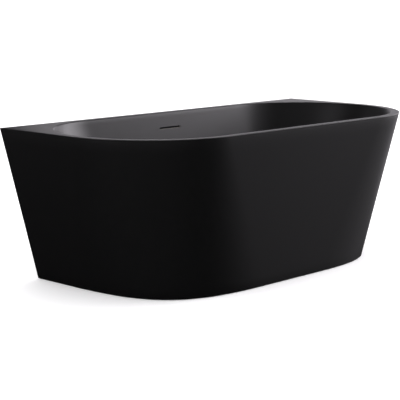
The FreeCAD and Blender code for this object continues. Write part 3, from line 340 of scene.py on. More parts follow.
# ---- mesh helpers ----
def mix(low, high, fraction):
    return low + (high - low) * fraction


def spaced(count, start=0.0, end=1.0, include_end=True):
    steps = count - 1 if include_end else count
    return [mix(start, end, k / steps) for k in range(count)]


def angles_round(count):
    return [2 * math.pi * k / count for k in range(count)]


def make_object(name, vertices, faces, materials, face_materials=None, sharp_degrees=35.0):
    """Mesh object with smooth shading that breaks at edges sharper than sharp_degrees."""
    mesh = bpy.data.meshes.new(name)
    mesh.from_pydata([tuple(v) for v in vertices], [], faces)
    for material in materials:
        mesh.materials.append(MATERIALS[material])
    if face_materials:
        mesh.polygons.foreach_set("material_index", face_materials)
    mesh.validate()
    mesh.shade_smooth()
    mesh.set_sharp_from_angle(angle=math.radians(sharp_degrees))
    piece = bpy.data.objects.new(name, mesh)
    bpy.context.scene.collection.objects.link(piece)
    return piece


def subtract(piece, cutter):
    """Cuts one object out of another and keeps the result in the mesh."""
    modifier = piece.modifiers.new("cut", "BOOLEAN")
    modifier.operation = "DIFFERENCE"
    modifier.solver = "EXACT"
    modifier.object = cutter
    graph = bpy.context.evaluated_depsgraph_get()
    mesh = bpy.data.meshes.new_from_object(piece.evaluated_get(graph))
    piece.modifiers.clear()
    piece.data = mesh
    mesh.shade_smooth()
    mesh.set_sharp_from_angle(angle=math.radians(35.0))
    bpy.data.objects.remove(cutter)


def place(piece, body, replaced):
    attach(piece, body)
    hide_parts(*replaced)
    return piece


def grid_faces(rows, columns, close_rows, close_columns):
    """Quads between neighbouring rows and columns of points stored row by row."""
    faces = []
    row_count = rows if close_rows else rows - 1
    column_count = columns if close_columns else columns - 1
    for i in range(row_count):
        for j in range(column_count):
            a, b = i * columns + j, i * columns + (j + 1) % columns
            c, d = ((i + 1) % rows) * columns + (j + 1) % columns, ((i + 1) % rows) * columns + j
            faces.append((a, b, c, d))
    return faces


def rounded(points, radii, steps=4):
    """Closed outline of 2-D points whose corners are replaced by arcs of the given radii."""
    out = []
    count = len(points)
    for k in range(count):
        corner = Vector(points[k])
        radius = radii[k] if isinstance(radii, (list, tuple)) else radii
        before = Vector(points[k - 1]) - corner
        after = Vector(points[(k + 1) % count]) - corner
        if radius <= 0 or before.length < 1e-9 or after.length < 1e-9:
            out.append(tuple(corner))
            continue
        u, v = before.normalized(), after.normalized()
        half = u.angle(v) / 2
        if half > math.pi / 2 - 0.01:
            out.append(tuple(corner))
            continue
        reach = radius / math.tan(half)
        centre = corner + (u + v).normalized() * (radius / math.sin(half))
        start, end = corner + u * reach - centre, corner + v * reach - centre
        turn = start.angle_signed(end)
        for step in range(steps + 1):
            angle = -turn * step / steps
            c, s = math.cos(angle), math.sin(angle)
            out.append((centre.x + start.x * c - start.y * s, centre.y + start.x * s + start.y * c))
    return out


# ---- outer shell outline ----
def bezier(p0, p1, p2, p3, t):
    s = 1.0 - t
    return tuple(s * s * s * a + 3 * s * s * t * b + 3 * s * t * t * c + t * t * t * d
                 for a, b, c, d in zip(p0, p1, p2, p3))


def shell_point(z, inset, station):
    """Point of the outer wall's outline at height z; a station is (part, side, fraction)."""
    part, side, f = station
    up = z / HEIGHT
    half_length = mix(BASE_HALF_LENGTH, HALF_LENGTH, up) - inset
    front_y = mix(BASE_FRONT_Y, FRONT_Y, up) + inset
    full_corner = mix(BASE_CORNER, RIM_CORNER, up)
    corner = full_corner - inset
    handle = mix(BASE_CORNER * BASE_FULLNESS, RIM_CORNER * ROUND_FULLNESS, up) * corner / full_corner
    side_end_y = front_y + corner
    front_end_x = half_length - corner
    if part == "side":                       # f runs from the corner (0) to the wall (1)
        return (side * half_length, mix(side_end_y, BACK_Y, f))
    if part == "corner":                     # f runs from the side (0) to the front (1)
        x, y = bezier((half_length, side_end_y), (half_length, side_end_y - handle),
                      (front_end_x + handle, front_y), (front_end_x, front_y), f)
        return (side * x, y)
    if part == "front":
        return (f * front_end_x, front_y)
    if part == "back_corner":                # f runs from the middle stretch (0) to the corner (1)
        return (side * mix(front_end_x, half_length, f), BACK_Y - inset)
    return (f * front_end_x, BACK_Y - inset)


def open_stations():
    """Stations from the wall on the left, round the front, to the wall on the right."""
    stations = [("side", -1, f) for f in spaced(SIDE_STEPS, 1.0, 0.0, False)]
    stations += [("corner", -1, f) for f in spaced(CORNER_STEPS, 0.0, 1.0, False)]
    stations += [("front", 0, f) for f in spaced(FRONT_STEPS, -1.0, 1.0, False)]
    stations += [("corner", 1, f) for f in spaced(CORNER_STEPS, 1.0, 0.0, False)]
    stations += [("side", 1, f) for f in spaced(SIDE_STEPS + 1, 0.0, 1.0)]
    return stations


def closed_stations():
    """The open stations, and on along the back edge to the start."""
    stations = open_stations()
    stations += [("back_corner", 1, f) for f in spaced(SIDE_STEPS, 1.0, 0.0, False)][1:]
    stations += [("back", 0, f) for f in spaced(FRONT_STEPS, 1.0, -1.0, False)]
    stations += [("back_corner", -1, f) for f in spaced(SIDE_STEPS, 0.0, 1.0, False)]
    return stations


# ---- skirt ----
def skirt_section(flange):
    """Closed (inset, z) outline of the skirt's wall; flange widens it at the wall plane."""
    low, high, wall = SKIRT_BOTTOM, RIM_UNDERSIDE, SKIRT_WALL
    corners = [(0.0, low), (0.0, high), (SKIRT_TOP_FLANGE, high), (SKIRT_TOP_FLANGE, high - wall),
               (wall, high - wall), (wall, low + wall), (SKIRT_BOTTOM_LIP, low + wall),
               (SKIRT_BOTTOM_LIP, low)]
    radii = [0.0025, 0.0006, 0.001, 0.001, 0.003, 0.003, 0.0015, 0.0015]
    outline = rounded(corners, radii, 4)
    tall = []
    for k, (inset, z) in enumerate(outline):   # extra rows up the long faces
        next_inset, next_z = outline[(k + 1) % len(outline)]
        rows = 14 if abs(next_z - z) > 0.3 else 1
        tall += [(mix(inset, next_inset, s / rows), mix(z, next_z, s / rows)) for s in range(rows)]
    if flange:
        tall = [(max(inset, flange) if inset > 0.0045 else inset, z) for inset, z in tall]
    return tall


def build_skirt():
    """Tapered outer skirt: one thin wall with in-turned edges, open at the back."""
    plain, widened = skirt_section(0.0), skirt_section(SKIRT_BACK_FLANGE)
    rows = []
    stations = open_stations()
    flange_y = BACK_Y - SKIRT_WALL
    for index, station in enumerate(stations):
        at_wall = index in (0, len(stations) - 1)
        if at_wall:
            ends = [[(*shell_point(z, inset, station), z) for inset, z in section]
                    for section in (plain, widened)]
            plain_row = [(x, flange_y, z) for x, _, z in ends[0]]
            wide_row = [(x, flange_y, z) for x, _, z in ends[1]]
            wall_row = [(x, BACK_Y, z) for x, _, z in ends[1]]
            new_rows = [wall_row, wide_row, plain_row]
            rows += new_rows if index == 0 else list(reversed(new_rows))
        else:
            rows.append([(*shell_point(z, inset, station), z) for inset, z in plain])
    columns = len(plain)
    vertices = [p for row in rows for p in row]
    faces = grid_faces(len(rows), columns, False, True)
    faces.append(tuple(reversed(range(columns))))
    faces.append(tuple(range((len(rows) - 1) * columns, len(rows) * columns)))
    inner = {k for k, (inset, z) in enumerate(plain) if inset > 0.0045}
    face_materials = []
    for k in range(len(faces)):
        column = k % columns
        is_inner = column in inner and (column + 1) % columns in inner
        face_materials.append(1 if is_inner and k < len(faces) - 2 else 0)
    piece = make_object("skirt", vertices, faces, ["acrylic", "laminate"], face_materials)
    return place(piece, "tub", ["outer_skirt"])


# ---- basin ----
def well_angle(station):
    """Direction of the bowl's wall at a station, in degrees from the X axis, on the right side."""
    part, _, f = station
    if part == "front":
        return -90.0
    if part == "back":
        return 90.0
    if part == "corner":
        k = ROUND_FULLNESS
        x, y = bezier((1.0, 0.0), (1.0, -k), (k, -1.0), (0.0, -1.0), f)
        return math.degrees(math.atan2(y, x))
    if part == "side":
        return math.degrees(math.atan2(f, 1.0))
    return math.degrees(math.atan2(1.0, f))


def bowl_frame(station, grow):
    """Direction, lean and size functions of the bowl's wall at a station."""
    part, side, f = station
    angle = math.radians(well_angle(station))
    along = f if part in ("front", "back") else side
    sign = 1.0 if part in ("front", "back") else side
    direction = Vector((sign * math.cos(angle), math.sin(angle)))
    rise = HEIGHT - FLOOR_Z
    width_slope = (WELL_HALF_WIDTH - FLOOR_HALF_WIDTH) / rise
    length_slope = (WELL_HALF_LENGTH - FLOOR_HALF_LENGTH) / rise
    lean = math.atan(width_slope + (length_slope - width_slope) * math.cos(angle))

    def radius(z):
        return FLOOR_HALF_WIDTH + (z - FLOOR_Z) * width_slope + grow

    def centre(z):
        half_length = FLOOR_HALF_LENGTH + (z - FLOOR_Z) * length_slope + grow
        return Vector((along * (half_length - radius(z)), 0.0))

    return direction, lean, radius, centre


def bowl_wall(station, grow, bottom_z, fillet, top_z, wall_rows, fillet_rows):
    """Points from the top of the bowl's wall, down and round the fillet, to the flat floor."""
    direction, lean, radius, centre = bowl_frame(station, grow)
    contact_z = bottom_z + fillet * (1 - math.sin(lean))
    points = []
    for z in spaced(wall_rows, top_z, contact_z):
        flat = centre(z) + direction * radius(z)
        points.append((flat.x, flat.y, z))
    ball = centre(contact_z) + direction * (radius(contact_z) - fillet * math.cos(lean))
    for angle in spaced(fillet_rows, lean, math.pi / 2)[1:]:
        flat = ball + direction * (fillet * math.cos(angle))
        points.append((flat.x, flat.y, bottom_z + fillet - fillet * math.sin(angle)))
    return points


def inner_rim_edge(station):
    """Small round between the flat rim and the bowl's wall, outer end first."""
    direction, lean, radius, centre = bowl_frame(station, 0.0)
    reach = RIM_INNER_EDGE / math.tan((math.pi / 2 + lean) / 2)
    edge = centre(HEIGHT) + direction * (radius(HEIGHT) + reach)
    points = []
    for angle in spaced(6, math.pi / 2, math.pi - lean):
        flat = edge + direction * (RIM_INNER_EDGE * math.cos(angle))
        points.append((flat.x, flat.y, HEIGHT - RIM_INNER_EDGE + RIM_INNER_EDGE * math.sin(angle)))
    return points


def toward_circle(point, radius, fractions, z):
    """Points on the floor from an outline point in to a circle round the waste."""
    x, y = point[0], point[1]
    length = math.hypot(x, y)
    on_circle = (x / length * radius, y / length * radius)
    return [(mix(x, on_circle[0], f), mix(y, on_circle[1], f), z) for f in fractions]


def basin_column(station):
    """Closed run of points round the basin's section at one station, and where its back starts."""
    rim_edge = [(RIM_OUTER_EDGE * (1 - math.sin(a)), HEIGHT - RIM_OUTER_EDGE * (1 - math.cos(a)))
                for a in spaced(5, 0.0, math.pi / 2)]
    points = [(*shell_point(z, inset, station), z) for inset, z in reversed(rim_edge)]
    outer_top = points[-1]
    inner_edge = inner_rim_edge(station)
    for f in spaced(6)[1:-1]:
        points.append((mix(outer_top[0], inner_edge[0][0], f), mix(outer_top[1], inner_edge[0][1], f),
                       HEIGHT))
    points += inner_edge
    points += bowl_wall(station, 0.0, FLOOR_Z, FLOOR_FILLET, inner_edge[-1][2], 26, 20)[1:]
    points += toward_circle(points[-1], WASTE_RECESS_RADIUS, spaced(12)[1:], FLOOR_Z)
    recess_z = FLOOR_Z - WASTE_RECESS_DEPTH
    recess = toward_circle(points[-1], WASTE_RECESS_RADIUS, [1.0], recess_z)
    points += recess
    points += toward_circle(recess[0], WASTE_HOLE_RADIUS, [0.5, 1.0], recess_z)
    back_start = len(points)
    underside_z = FLOOR_Z - BOWL_WALL
    points += toward_circle(points[-1], WASTE_HOLE_RADIUS, [1.0], underside_z)
    back = bowl_wall(station, BOWL_GROW, underside_z, FLOOR_FILLET + BOWL_WALL, RIM_UNDERSIDE, 16, 12)
    floor_back = toward_circle(back[-1], WASTE_HOLE_RADIUS, spaced(10)[1:-1], underside_z)
    points += list(reversed(floor_back))
    points += list(reversed(back))
    underside_edge = (*shell_point(RIM_UNDERSIDE, 0.0, station), RIM_UNDERSIDE)
    for f in spaced(4)[1:]:
        points.append(tuple(mix(a, b, f) for a, b in zip(back[0], underside_edge)))
    return points, back_start


def cut_slot(piece):
    """Cuts the long round-ended overflow slot through the back wall."""
    radius = OVERFLOW_HEIGHT / 2
    reach = OVERFLOW_LENGTH / 2 - radius
    outline = []
    for end in (1, -1):
        for angle in spaced(13, -math.pi / 2, math.pi / 2):
            outline.append((end * (reach + radius * math.cos(angle)), end * radius * math.sin(angle)))
    count = len(outline)
    vertices = [(x, y, OVERFLOW_Z + z) for y in (0.335, 0.375) for x, z in outline]
    faces = grid_faces(2, count, False, True)
    faces += [tuple(range(count)), tuple(reversed(range(count, 2 * count)))]
    subtract(piece, make_object("slot_cutter", vertices, faces, ["acrylic"]))


def build_basin():
    """Rim and bowl in one moulding, with its laminated back."""
    stations = closed_stations()
    columns = [basin_column(station) for station in stations]
    back_start = columns[0][1]
    rows = len(columns[0][0])
    vertices = [p for points, _ in columns for p in points]
    faces = grid_faces(len(stations), rows, True, True)
    face_materials = [1 if back_start < k % rows < rows - 1 else 0 for k in range(len(faces))]
    piece = make_object("basin", vertices, faces, ["acrylic", "laminate"], face_materials)
    cut_slot(piece)
    return place(piece, "tub", ["inner_basin"])


# ---- shapes for the hardware ----
def merged(shapes):
    """Several (vertices, faces) shapes as one."""
    vertices, faces = [], []
    for shape_vertices, shape_faces in shapes:
        offset = len(vertices)
        vertices += shape_vertices
        faces += [tuple(k + offset for k in face) for face in shape_faces]
    return vertices, faces


def hardware(name, shapes, look, node, body="tub", sharp_degrees=35.0):
    """One piece, made of several shapes, that stands for one CAD node."""
    vertices, faces = merged(shapes)
    piece = make_object(name, vertices, faces, [look], None, sharp_degrees)
    return place(piece, body, [node])


def turned_to(shape, start, direction):
    """The shape with its own Z axis laid along direction and its origin moved to start."""
    vertices, faces = shape
    turn = Vector(direction).to_track_quat("Z", "Y")
    return [tuple(turn @ Vector(v) + Vector(start)) for v in vertices], faces


def standing(shape, x, y):
    return turned_to(shape, (x, y, 0.0), (0, 0, 1))


def toward_wall(shape, z):
    """The shape with its axis level at height z, pointing at the wall."""
    return turned_to(shape, (0.0, 0.0, z), (0, 1, 0))


def spun(shape, angle):
    """The shape turned about Z."""
    vertices, faces = shape
    c, s = math.cos(angle), math.sin(angle)
    return [(x * c - y * s, x * s + y * c, z) for x, y, z in vertices], faces


def around(shape, count, phase=0.0):
    """Copies of the shape, evenly spaced round Z."""
    return [spun(shape, 2 * math.pi * (k + phase) / count) for k in range(count)]


def joined_rows(rows):
    """Closed surface through rings of points, where the last ring joins the first."""
    return [p for row in rows for p in row], grid_faces(len(rows), len(rows[0]), True, True)


def capped_rows(rows):
    """Tube through rings of points, closed with a flat cap at each end."""
    columns = len(rows[0])
    faces = grid_faces(len(rows), columns, False, True)
    faces.append(tuple(reversed(range(columns))))
    faces.append(tuple(range((len(rows) - 1) * columns, len(rows) * columns)))
    return [p for row in rows for p in row], faces


def circle(radius, z, segments):
    return [(radius * math.cos(a), radius * math.sin(a), z) for a in angles_round(segments)]


def lathe_ring(outline, segments=48):
    """Solid of revolution round Z from a closed (radius, z) outline clear of the axis."""
    return joined_rows([circle(radius, z, segments) for radius, z in outline])


def lathe_rounded(outline, radii, steps, segments):
    """Solid of revolution from a closed outline whose corners are rounded first."""
    return lathe_ring(rounded(outline, radii, steps), segments)


def lathe_solid(profile, segments=48):
    """Solid of revolution from an open (radius, z) profile that starts and ends near the axis."""
    return capped_rows([circle(radius, z, segments) for radius, z in profile])


def soft_box(low, high, radius, segments=2):
    """Box with rounded edges."""
    form = bmesh.new()
    bmesh.ops.create_cube(form, size=1.0)
    for vertex in form.verts:
        vertex.co = [mix(a, b, c + 0.5) for a, b, c in zip(low, high, vertex.co)]
    bmesh.ops.bevel(form, geom=form.edges[:], offset=radius, segments=segments, profile=0.5,
                    affect="EDGES")
    form.verts.index_update()
    shape = ([tuple(v.co) for v in form.verts],
             [tuple(v.index for v in face.verts) for face in form.faces])
    form.free()
    return shape


def threaded_rod(radius, depth, pitch, z0, z1, segments=20, rows_per_turn=4):
    """Rod with a real helical thread and a small lead-in at its far end."""
    rows = [circle(radius - depth, z0, segments)]
    for z in spaced(int((z1 - z0) / pitch * rows_per_turn) + 2, z0, z1):
        ring = []
        for k, angle in enumerate(angles_round(segments)):
            crest = abs(2 * ((z / pitch - k / segments) % 1.0) - 1)
            reach = min(radius - depth * (1 - crest), radius - depth + max(z1 - z, 0.0))
            ring.append((reach * math.cos(angle), reach * math.sin(angle), z))
        rows.append(ring)
    return capped_rows(rows)


def hex_nut(flats, z0, z1, bore_steps, segments=48):
    """Hexagonal nut with chamfered corners; bore_steps are (radius, z) going up the bore."""
    half = flats / 2
    shoulder = half * 1.005
    slope = math.tan(math.radians(30.0))
    columns = []
    for angle in angles_round(segments):
        reach = half / math.cos((angle + math.pi / 6) % (math.pi / 3) - math.pi / 6)
        drop = max(reach - shoulder, 0.0) * slope
        outline = [(radius, z) for radius, z in bore_steps]
        outline += [(shoulder * 0.985, z1), (reach, z1 - drop - 0.0001), (reach, z0 + drop + 0.0001),
                    (shoulder * 0.985, z0)]
        columns.append([(r * math.cos(angle), r * math.sin(angle), z) for r, z in outline])
    return joined_rows(columns)


def square_tube(x0, x1, y0, y1, z0, z1, axis, radius=0.0025):
    """Rectangular steel tube with rounded corners, running along Y or Z."""
    def loop(inset, corner):
        if axis == "Y":
            points = [(x0 + inset, z0 + inset), (x1 - inset, z0 + inset),
                      (x1 - inset, z1 - inset), (x0 + inset, z1 - inset)]
        else:
            points = [(x0 + inset, y0 + inset), (x1 - inset, y0 + inset),
                      (x1 - inset, y1 - inset), (x0 + inset, y1 - inset)]
        return rounded(points, corner, 4)

    outer, inner = loop(0.0, radius), loop(TUBE_WALL, radius - TUBE_WALL + 0.0003)
    start, end = (y0, y1) if axis == "Y" else (z0, z1)
    rows = []
    for outline, along in [(outer, start), (outer, end), (inner, end), (inner, start)]:
        rows.append([(a, along, b) if axis == "Y" else (a, b, along) for a, b in outline])
    return joined_rows(rows)


def weld_bead(x0, x1, y0, y1, z, radius=0.0017):
    """Rippled bead of weld round the foot or head of a square tube."""
    corners = [Vector((x0, y0)), Vector((x1, y0)), Vector((x1, y1)), Vector((x0, y1))]
    rows = []
    per_side, segments = 28, 8
    for side in range(4):
        start, end = corners[side], corners[(side + 1) % 4]
        for k in range(per_side):
            centre = start.lerp(end, k / per_side)
            outward = (centre - Vector(((x0 + x1) / 2, (y0 + y1) / 2))).normalized()
            size = radius * (1.0 + 0.16 * math.sin(k * 2.1 + side))
            ring = []
            for angle in angles_round(segments):
                flat = centre + outward * (size * math.cos(angle))
                ring.append((flat.x, flat.y, z + size * math.sin(angle)))
            rows.append(ring)
    return joined_rows(rows)


def drill(piece, holes):
    """Cuts round holes; each hole is (start, direction, radius, length)."""
    shapes = []
    for start, direction, radius, length in holes:
        shapes.append(turned_to(capped_rows([circle(radius, 0.0, 40), circle(radius, length, 40)]),
                                start, direction))
    vertices, faces = merged(shapes)
    subtract(piece, make_object("drill", vertices, faces, ["acrylic"]))


def solids_of(node):
    """The vertices of each separate solid in a CAD node."""
    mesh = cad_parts[node].data
    group = {}

    def leader(key):
        while group[key] != key:
            group[key] = group[group[key]]
            key = group[key]
        return key

    keys = [tuple(round(c, 6) for c in vertex.co) for vertex in mesh.vertices]
    for key in keys:
        group.setdefault(key, key)
    for polygon in mesh.polygons:
        first = leader(keys[polygon.vertices[0]])
        for index in polygon.vertices:
            group[leader(keys[index])] = first
    solids = {}
    for key in group:
        solids.setdefault(leader(key), []).append(Vector(key))
    return list(solids.values())


def middle(points):
    low = Vector([min(p[k] for p in points) for k in range(3)])
    high = Vector([max(p[k] for p in points) for k in range(3)])
    return (low + high) / 2, high - low


# ---- screws ----
def screw_shape(length):
    """Pan-head screw with a cross recess; its seat is at z = 0 and its shank runs up."""
    segments = 32
    rows = []
    for radius, z in [(0.0021, 0.0), (SCREW_HEAD_RADIUS, 0.0), (SCREW_HEAD_RADIUS, -0.0009)]:
        rows.append(circle(radius, z, segments))
    for fraction in spaced(11, 0.94, 0.04):
        radius = SCREW_HEAD_RADIUS * fraction
        crown = 0.0009 + 0.0016 * math.sqrt(1.0 - fraction ** 2.4)
        ring = []
        for angle in angles_round(segments):
            x, y = radius * math.cos(angle), radius * math.sin(angle)
            near, far = sorted((abs(x), abs(y)))
            in_cross = near < 0.00045 and far < 0.0023
            depth = min(crown, 0.0014 * (1.0 - far / 0.0026)) if in_cross else 0.0
            ring.append((x, y, -crown + depth))
        rows.append(ring)
    head_rows = list(reversed(rows))
    head = capped_rows(head_rows)
    return merged([head, threaded_rod(SCREW_RADIUS, 0.0004, 0.0016, -0.0002, length, 12, 3)])


def build_screws(node):
    """Screws where the CAD node has them, each turned the same way as its solid."""
    shapes = []
    for points in solids_of(node):
        centre, size = middle(points)
        axis = max(range(3), key=lambda k: size[k])
        ends = []
        for side in (-1, 1):
            level = centre[axis] + side * size[axis] / 2
            near = [p for p in points if abs(p[axis] - level) < SCREW_HEAD_HEIGHT * 1.05]
            spread = max((p - centre).length_squared - (p - centre)[axis] ** 2 for p in near)
            ends.append((spread, side, level))
        _, side, level = max(ends)
        direction = Vector((0.0, 0.0, 0.0))
        direction[axis] = -side
        seat = centre.copy()
        seat[axis] = level - side * SCREW_HEAD_HEIGHT
        shapes.append(turned_to(screw_shape(size[axis] - SCREW_HEAD_HEIGHT), seat, direction))
    return hardware(node + "_detailed", shapes, "zinc", node, sharp_degrees=30.0)


# ---- levelling feet ----
def build_foot(number, x, y):
    """Threaded stud with a hexagonal collar, and the ribbed pad that it turns in."""
    into_collar = COLLAR_BOTTOM + 0.0001
    stud = merged([
        threaded_rod(STUD_RADIUS, 0.0008, THREAD_PITCH, COLLAR_TOP, STUD_TOP),
        hex_nut(0.014, COLLAR_BOTTOM, COLLAR_TOP, [(0.001, COLLAR_BOTTOM), (0.001, COLLAR_TOP)]),
        lathe_solid([(AXIS, STUD_BOTTOM), (STUD_TIP_RADIUS - 0.0004, STUD_BOTTOM),
                     (STUD_TIP_RADIUS, STUD_BOTTOM + 0.0004), (STUD_TIP_RADIUS, into_collar),
                     (AXIS, into_collar)], 32),
    ])
    hardware("stud_%d_threaded" % number, [standing(stud, x, y)], "zinc",
             "foot_stud_%d" % number, "stud_%d" % number, sharp_degrees=25.0)

    disc = lathe_rounded([(0.00405, 0.004), (0.00405, PAD_HUB_TOP), (0.011, PAD_HUB_TOP),
                          (0.0118, PAD_EDGE_TOP), (PAD_RADIUS, PAD_EDGE_TOP), (PAD_RADIUS, 0.0),
                          (AXIS, 0.0), (AXIS, 0.004)],
                         [0.0, 0.0006, 0.0012, 0.0015, 0.002, 0.0008, 0.0, 0.0], 5, 64)
    rib = soft_box((0.0105, -0.0009, 0.0074), (0.0205, 0.0009, 0.0108), 0.0006)
    pad = merged([disc] + around(rib, 8))
    hardware("pad_%d_ribbed" % number, [standing(pad, x, y)], "rubber",
             "foot_pad_%d" % number, "pad_%d" % number)


def build_foot_fixings():
    """Threaded inserts in the rails, and the lock nuts under them."""
    flange_bottom = RAIL_BOTTOM - SOCKET_FLANGE
    nut_bottom = flange_bottom - LOCK_NUT_HEIGHT
    bore = 0.00505
    nut = hex_nut(0.017, nut_bottom, flange_bottom,
                  [(bore + 0.0007, nut_bottom), (bore, nut_bottom + 0.0007),
                   (bore, flange_bottom - 0.0007), (bore + 0.0007, flange_bottom)])
    socket = lathe_rounded([(bore, flange_bottom), (bore, RAIL_BOTTOM + 0.016),
                            (0.0075, RAIL_BOTTOM + 0.016), (0.0075, RAIL_BOTTOM),
                            (0.0105, RAIL_BOTTOM), (0.0105, flange_bottom)],
                           [0.0004, 0.0004, 0.0008, 0.0003, 0.0005, 0.0005], 3, 48)
    nuts = [standing(nut, x, y) for x, y in FEET]
    sockets = [standing(socket, x, y) for x, y in FEET]
    hardware("lock_nuts_chamfered", nuts, "zinc", "lock_nuts", sharp_degrees=25.0)
    hardware("rail_inserts", sockets, "zinc", "foot_sockets")


# ---- rails and uprights ----
def build_rails():
    for side, (x, rear_y) in RAILS.items():
        tube = square_tube(x - RAIL_HALF_WIDTH, x + RAIL_HALF_WIDTH, RAIL_FRONT_Y, rear_y,
                           RAIL_BOTTOM, RAIL_TOP, "Y")
        rail = hardware("rail_%s_tube" % side, [tube], "powder_coat", "cross_rail_" + side)
        holes = []
        for foot_x, foot_y in FEET:
            if foot_x == x:
                holes.append(((x, foot_y, RAIL_BOTTOM - 0.001), (0, 0, 1), 0.0078, 0.004))
                holes.append(((x, foot_y, RAIL_TOP - 0.003), (0, 0, 1), 0.0065, 0.004))
        drill(rail, holes)

    caps = []
    for x, rear_y in RAILS.values():
        for end_y, inward in ((RAIL_FRONT_Y, 1), (rear_y, -1)):
            y0, y1 = sorted((end_y, end_y - inward * 0.002))
            caps.append(soft_box((x - RAIL_HALF_WIDTH, y0, RAIL_BOTTOM),
                                 (x + RAIL_HALF_WIDTH, y1, RAIL_TOP), 0.0009, 3))
            y0, y1 = sorted((end_y, end_y + inward * 0.012))
            gap = 0.0023
            caps.append(soft_box((x - RAIL_HALF_WIDTH + gap, y0, RAIL_BOTTOM + gap),
                                 (x + RAIL_HALF_WIDTH - gap, y1, RAIL_TOP - gap), 0.0008))
    hardware("rail_caps_moulded", caps, "black_plastic", "rail_end_caps")


def build_uprights():
    """Square tube welded to a top plate, with beads of weld at both ends."""
    for side, sign in (("left", -1), ("right", 1)):
        x = sign * UPRIGHT_X
        half = (UPRIGHT_REAR_Y - UPRIGHT_FRONT_Y) / 2
        shapes = [
            square_tube(x - half, x + half, UPRIGHT_FRONT_Y, UPRIGHT_REAR_Y, RAIL_TOP, PLATE_BOTTOM,
                        "Z", 0.0022),
            soft_box((x - PLATE_HALF, UPRIGHT_FRONT_Y, PLATE_BOTTOM),
                     (x + PLATE_HALF, UPRIGHT_REAR_Y, PLATE_TOP), 0.0005),
            weld_bead(x - half, x + half, UPRIGHT_FRONT_Y, UPRIGHT_REAR_Y - 0.0005,
                      RAIL_TOP + 0.0006),
            weld_bead(x - half, x + half, UPRIGHT_FRONT_Y, UPRIGHT_REAR_Y - 0.0005,
                      PLATE_BOTTOM - 0.0006),
        ]
        hardware("upright_%s_welded" % side, shapes, "powder_coat", "upright_" + side)


# ---- overflow hose, clips and hood ----
def hose_stations(step):
    """Centre and direction of the hose every step along it, with the distance from its top."""
    drop = HOSE_TOP - (INLET_Z + HOSE_BEND)
    bend = HOSE_BEND * math.pi / 2
    run = (HOSE_Y - HOSE_BEND) - HOSE_FRONT_Y
    total = drop + bend + run
    stations = []
    for distance in spaced(int(total / step) + 2, 0.0, total):
        if distance <= drop:
            centre, direction = (0.0, HOSE_Y, HOSE_TOP - distance), (0.0, 0.0, -1.0)
        elif distance <= drop + bend:
            angle = (distance - drop) / HOSE_BEND
            centre = (0.0, HOSE_Y - HOSE_BEND * (1 - math.cos(angle)),
                      INLET_Z + HOSE_BEND * (1 - math.sin(angle)))
            direction = (0.0, -math.sin(angle), -math.cos(angle))
        else:
            past = distance - drop - bend
            centre, direction = (0.0, HOSE_Y - HOSE_BEND - past, INLET_Z), (0.0, -1.0, 0.0)
        stations.append((distance, total, Vector(centre), Vector(direction)))
    return stations


def hose_ring(centre, direction, radius, segments=32):
    across = Vector((1.0, 0.0, 0.0))
    other = direction.cross(across)
    return [tuple(centre + across * (radius * math.cos(a)) + other * (radius * math.sin(a)))
            for a in angles_round(segments)]


def build_hose():
    """Corrugated hose with a smooth cuff at each end."""
    rows = []
    for distance, total, centre, direction in hose_stations(CORRUGATION / 7):
        from_end = min(distance, total - distance)
        wave = 0.5 + 0.5 * math.cos(2 * math.pi * distance / CORRUGATION)
        groove = 0.0017 * (1.0 - min(1.0, 1.6 * wave))
        if from_end < CUFF_LENGTH:
            groove = 0.0004 if 0.002 < from_end < CUFF_LENGTH - 0.002 else 0.0
        rows.append(hose_ring(centre, direction, HOSE_RADIUS - groove))
    inside = [hose_ring(centre, direction, HOSE_BORE)
              for _, _, centre, direction in hose_stations(0.012)]
    rows += list(reversed(inside))
    hardware("hose_corrugated", [joined_rows(rows)], "hose_plastic", "overflow_hose",
             sharp_degrees=80.0)


def build_hose_clips():
    """Worm-drive clips: a slotted band, its housing and its screw."""
    shapes = []
    for centre, direction in (((0.0, HOSE_Y, HOSE_TOP - 0.012), (0, 0, 1)),
                              ((0.0, HOSE_FRONT_Y + 0.014, INLET_Z), (0, 1, 0))):
        band = lathe_rounded([(0.0128, -0.0045), (0.0128, 0.0045), (0.0136, 0.0045),
                              (0.0136, -0.0045)], 0.0003, 2, 64)
        tail = soft_box((0.0125, -0.0025, -0.0043), (0.0182, 0.0025, 0.0043), 0.0012, 3)
        worm = turned_to(hex_nut(0.0062, 0.0, 0.003, [(0.0005, 0.0), (0.0005, 0.003)]),
                         (0.0152, 0.0022, 0.0), (0, 1, 0))
        slot = soft_box((0.01345, -0.0005, -0.0028), (0.01378, 0.0005, 0.0028), 0.0001, 1)
        grooves = [spun(slot, math.radians(angle)) for angle in spaced(22, 30.0, 330.0)]
        clip = merged([band, tail, worm] + grooves)
        if direction == (0, 1, 0):
            vertices = [(vx + centre[0], vz + centre[1], -vy + centre[2]) for vx, vy, vz in clip[0]]
        else:
            vertices = [(vx + centre[0], vy + centre[1], vz + centre[2]) for vx, vy, vz in clip[0]]
        shapes.append((vertices, clip[1]))
    hardware("hose_clips_worm_drive", shapes, "zinc", "hose_clips", sharp_degrees=30.0)


